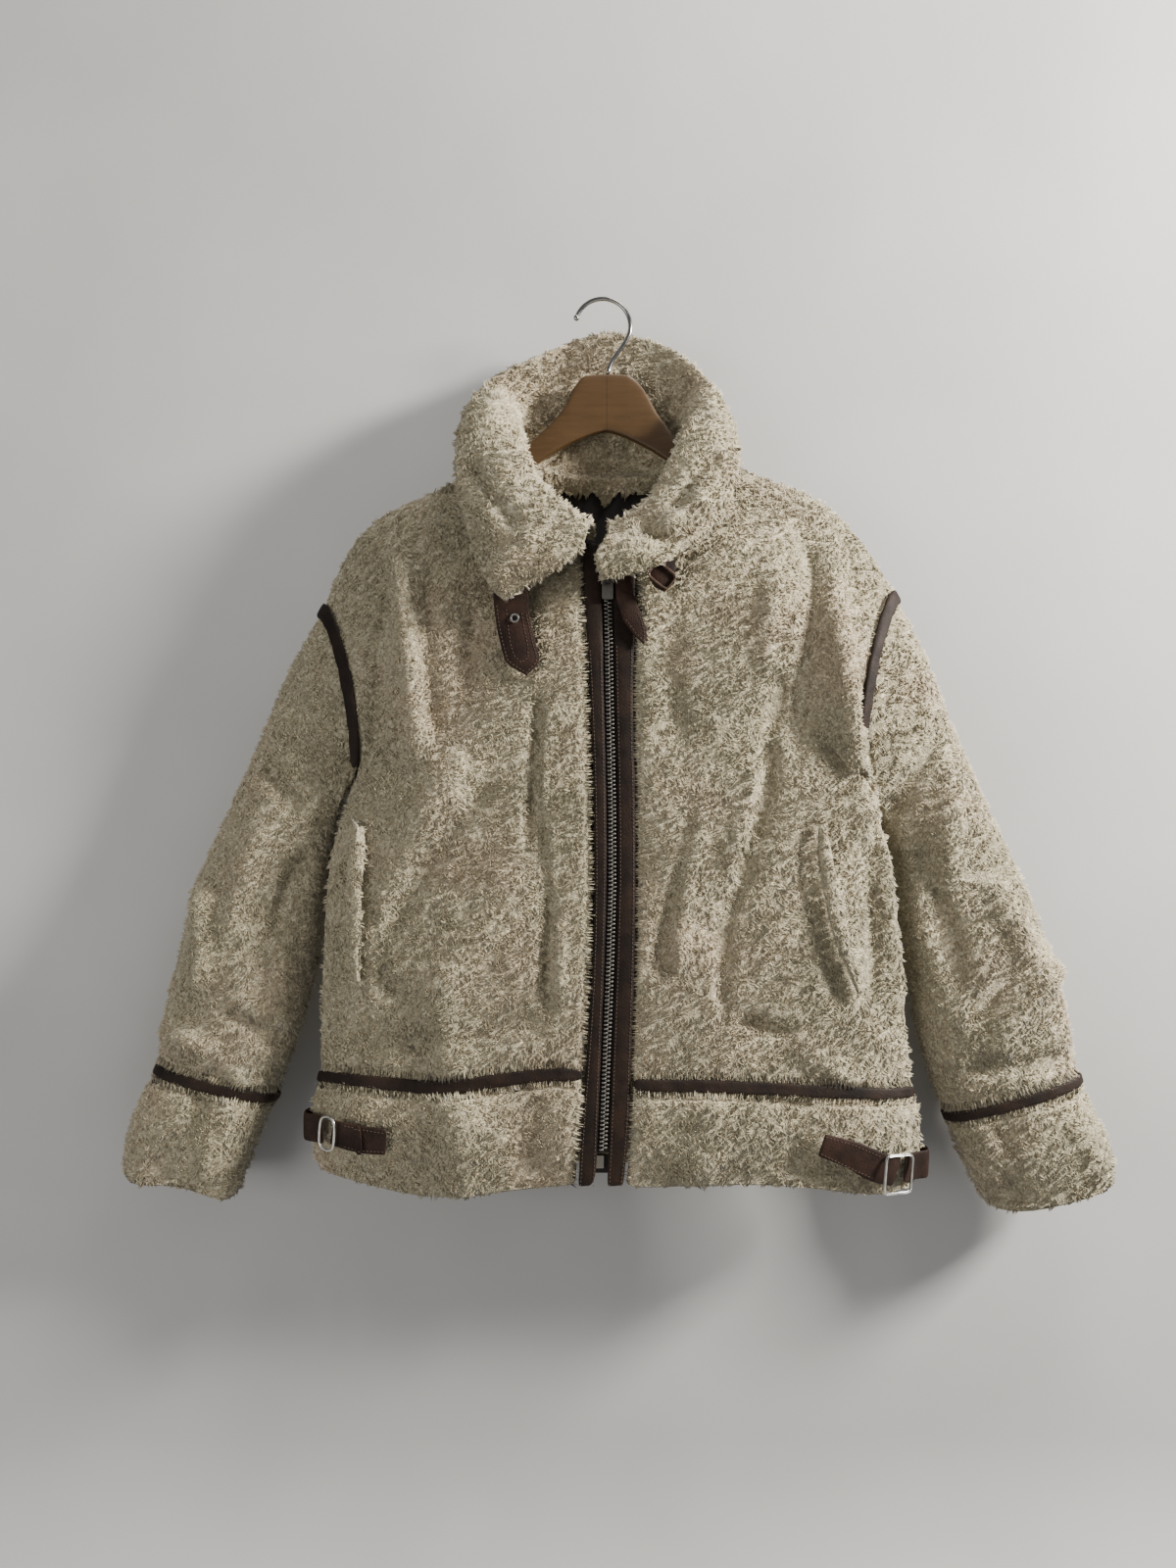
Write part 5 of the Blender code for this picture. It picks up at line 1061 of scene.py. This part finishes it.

# %% A dark disc in the strap's eyelet: painted shade for its hole
eyelet_low, eyelet_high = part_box("collar_strap_eyelet")
middle = [(a + b) / 2 / MM for a, b in zip(eyelet_low, eyelet_high)]
# A flat disc of the near black tape colour sits inside the ring as painted shade for the hole.
bm = bmesh.new()
bmesh.ops.create_cone(bm, cap_ends=True, segments=24, radius1=2.5 * MM, radius2=2.5 * MM, depth=0.6 * MM)
bmesh.ops.rotate(bm, verts=bm.verts, matrix=Matrix.Rotation(math.radians(90), 3, "X"))
strap_y = on_front(middle[0], middle[2])[0].y
bmesh.ops.translate(bm, verts=bm.verts, vec=(middle[0] * MM, strap_y - 0.15 * MM, middle[2] * MM))
mesh = bpy.data.meshes.new("eyelet_shade_disc")
bm.to_mesh(mesh)
bm.free()
mesh.materials.append(TAPE)
shade_disc = bpy.data.objects.new("eyelet_shade_disc", mesh)
bpy.context.scene.collection.objects.link(shade_disc)
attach(shade_disc, "jacket")

# %% The solids that stay as they are
KEPT = {"zip_tape_left": TAPE, "zip_tape_right": TAPE, "back_neck_facing": TAPE, "zip_slider": ZIP_METAL,
        "zip_pull_tab": ZIP_METAL, "collar_strap_eyelet": NICKEL}
for name, material in KEPT.items():
    solid = nodes[name]
    solid.data.materials.clear()
    solid.data.materials.append(material)

# %% [markdown]
# The room is only a pale backdrop: a floor that curves up into a wall behind the jacket. The wall shows
# from its front only and lets the sky's light past, so that a camera behind it sees the jacket's back.
# Light comes from high on the right, as in the photograph, with a weak fill from the left and the sky's
# own grey.

# %% Stage and light
FLOOR_Z, WALL_Y, COVE = -1.35, 0.056, 0.3
bm = bmesh.new()
foot = bm.verts.new((-3, -2.6, FLOOR_Z))
start = bm.verts.new((-3, WALL_Y - COVE, FLOOR_Z))
bm.edges.new((foot, start))
bmesh.ops.spin(bm, geom=[start], cent=(-3, WALL_Y - COVE, FLOOR_Z + COVE), axis=(1, 0, 0),
               angle=math.radians(90), steps=12)
top = max(bm.verts, key=lambda v: (v.co.y, v.co.z))
bm.edges.new((top, bm.verts.new((-3, WALL_Y, 1.6))))
swept = bmesh.ops.extrude_edge_only(bm, edges=bm.edges)
bmesh.ops.translate(bm, verts=[v for v in swept["geom"] if isinstance(v, bmesh.types.BMVert)], vec=(6, 0, 0))
bmesh.ops.recalc_face_normals(bm, faces=bm.faces)
if sum(f.normal.y for f in bm.faces) > 0:
    bmesh.ops.reverse_faces(bm, faces=bm.faces)
mesh = bpy.data.meshes.new("backdrop")
bm.to_mesh(mesh)
bm.free()
mesh.polygons.foreach_set("use_smooth", [True] * len(mesh.polygons))
backdrop = bpy.data.objects.new("backdrop", mesh)
bpy.context.scene.collection.objects.link(backdrop)
WALL, tree = tree_of("pale_wall")
shader = node(tree, "ShaderNodeBsdfPrincipled")
put(tree, ramp(tree, noise(tree, 300, 3.0), (0.35, (0.53, 0.52, 0.50)), (0.7, (0.60, 0.585, 0.565))),
    shader.inputs["Base Color"])
shader.inputs["Roughness"].default_value = 0.95
seen = node(tree, "ShaderNodeMixShader")
put(tree, node(tree, "ShaderNodeNewGeometry").outputs["Backfacing"], seen.inputs[0])
put(tree, shader.outputs[0], seen.inputs[1])
put(tree, node(tree, "ShaderNodeBsdfTransparent").outputs[0], seen.inputs[2])
finish_material(tree, seen)
mesh.materials.append(WALL)
backdrop.visible_diffuse = False
backdrop.visible_shadow = False


def lamp(name, place, target, size, watts, colour):
    made = bpy.data.objects.new(name, bpy.data.lights.new(name, "AREA"))
    made.data.size = size
    made.data.energy = watts
    made.data.color = colour
    made.location = place
    made.rotation_euler = (Vector(target) - Vector(place)).to_track_quat("-Z", "Y").to_euler()
    bpy.context.scene.collection.objects.link(made)
    return made


MIDDLE = (0.0, 0.0, -0.4)
lamp("window", (1.7, -0.62, 0.36), MIDDLE, 0.36, 112, (1.0, 0.97, 0.92))
lamp("fill", (-1.5, -1.5, -0.7), MIDDLE, 1.2, 15, (1.0, 0.98, 0.94))
lamp("top", (0.5, -0.40, 1.2), MIDDLE, 0.6, 16, (1.0, 0.98, 0.95))
world = bpy.data.worlds.new("soft_sky")
world.use_nodes = True
world.node_tree.nodes["Background"].inputs["Color"].default_value = (0.78, 0.8, 0.84, 1)
world.node_tree.nodes["Background"].inputs["Strength"].default_value = 0.30
bpy.context.scene.world = world

# %% Sizes and finish
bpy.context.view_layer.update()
counts = {}
for obj in bpy.context.scene.objects:
    if obj.type == "MESH" and obj != backdrop and not obj.hide_render:
        faces = obj.evaluated_get(bpy.context.evaluated_depsgraph_get()).data
        faces.calc_loop_triangles()
        counts[obj.name] = len(faces.loop_triangles)
print("triangles in all", sum(counts.values()), sorted(counts.items(), key=lambda row: -row[1])[:16])
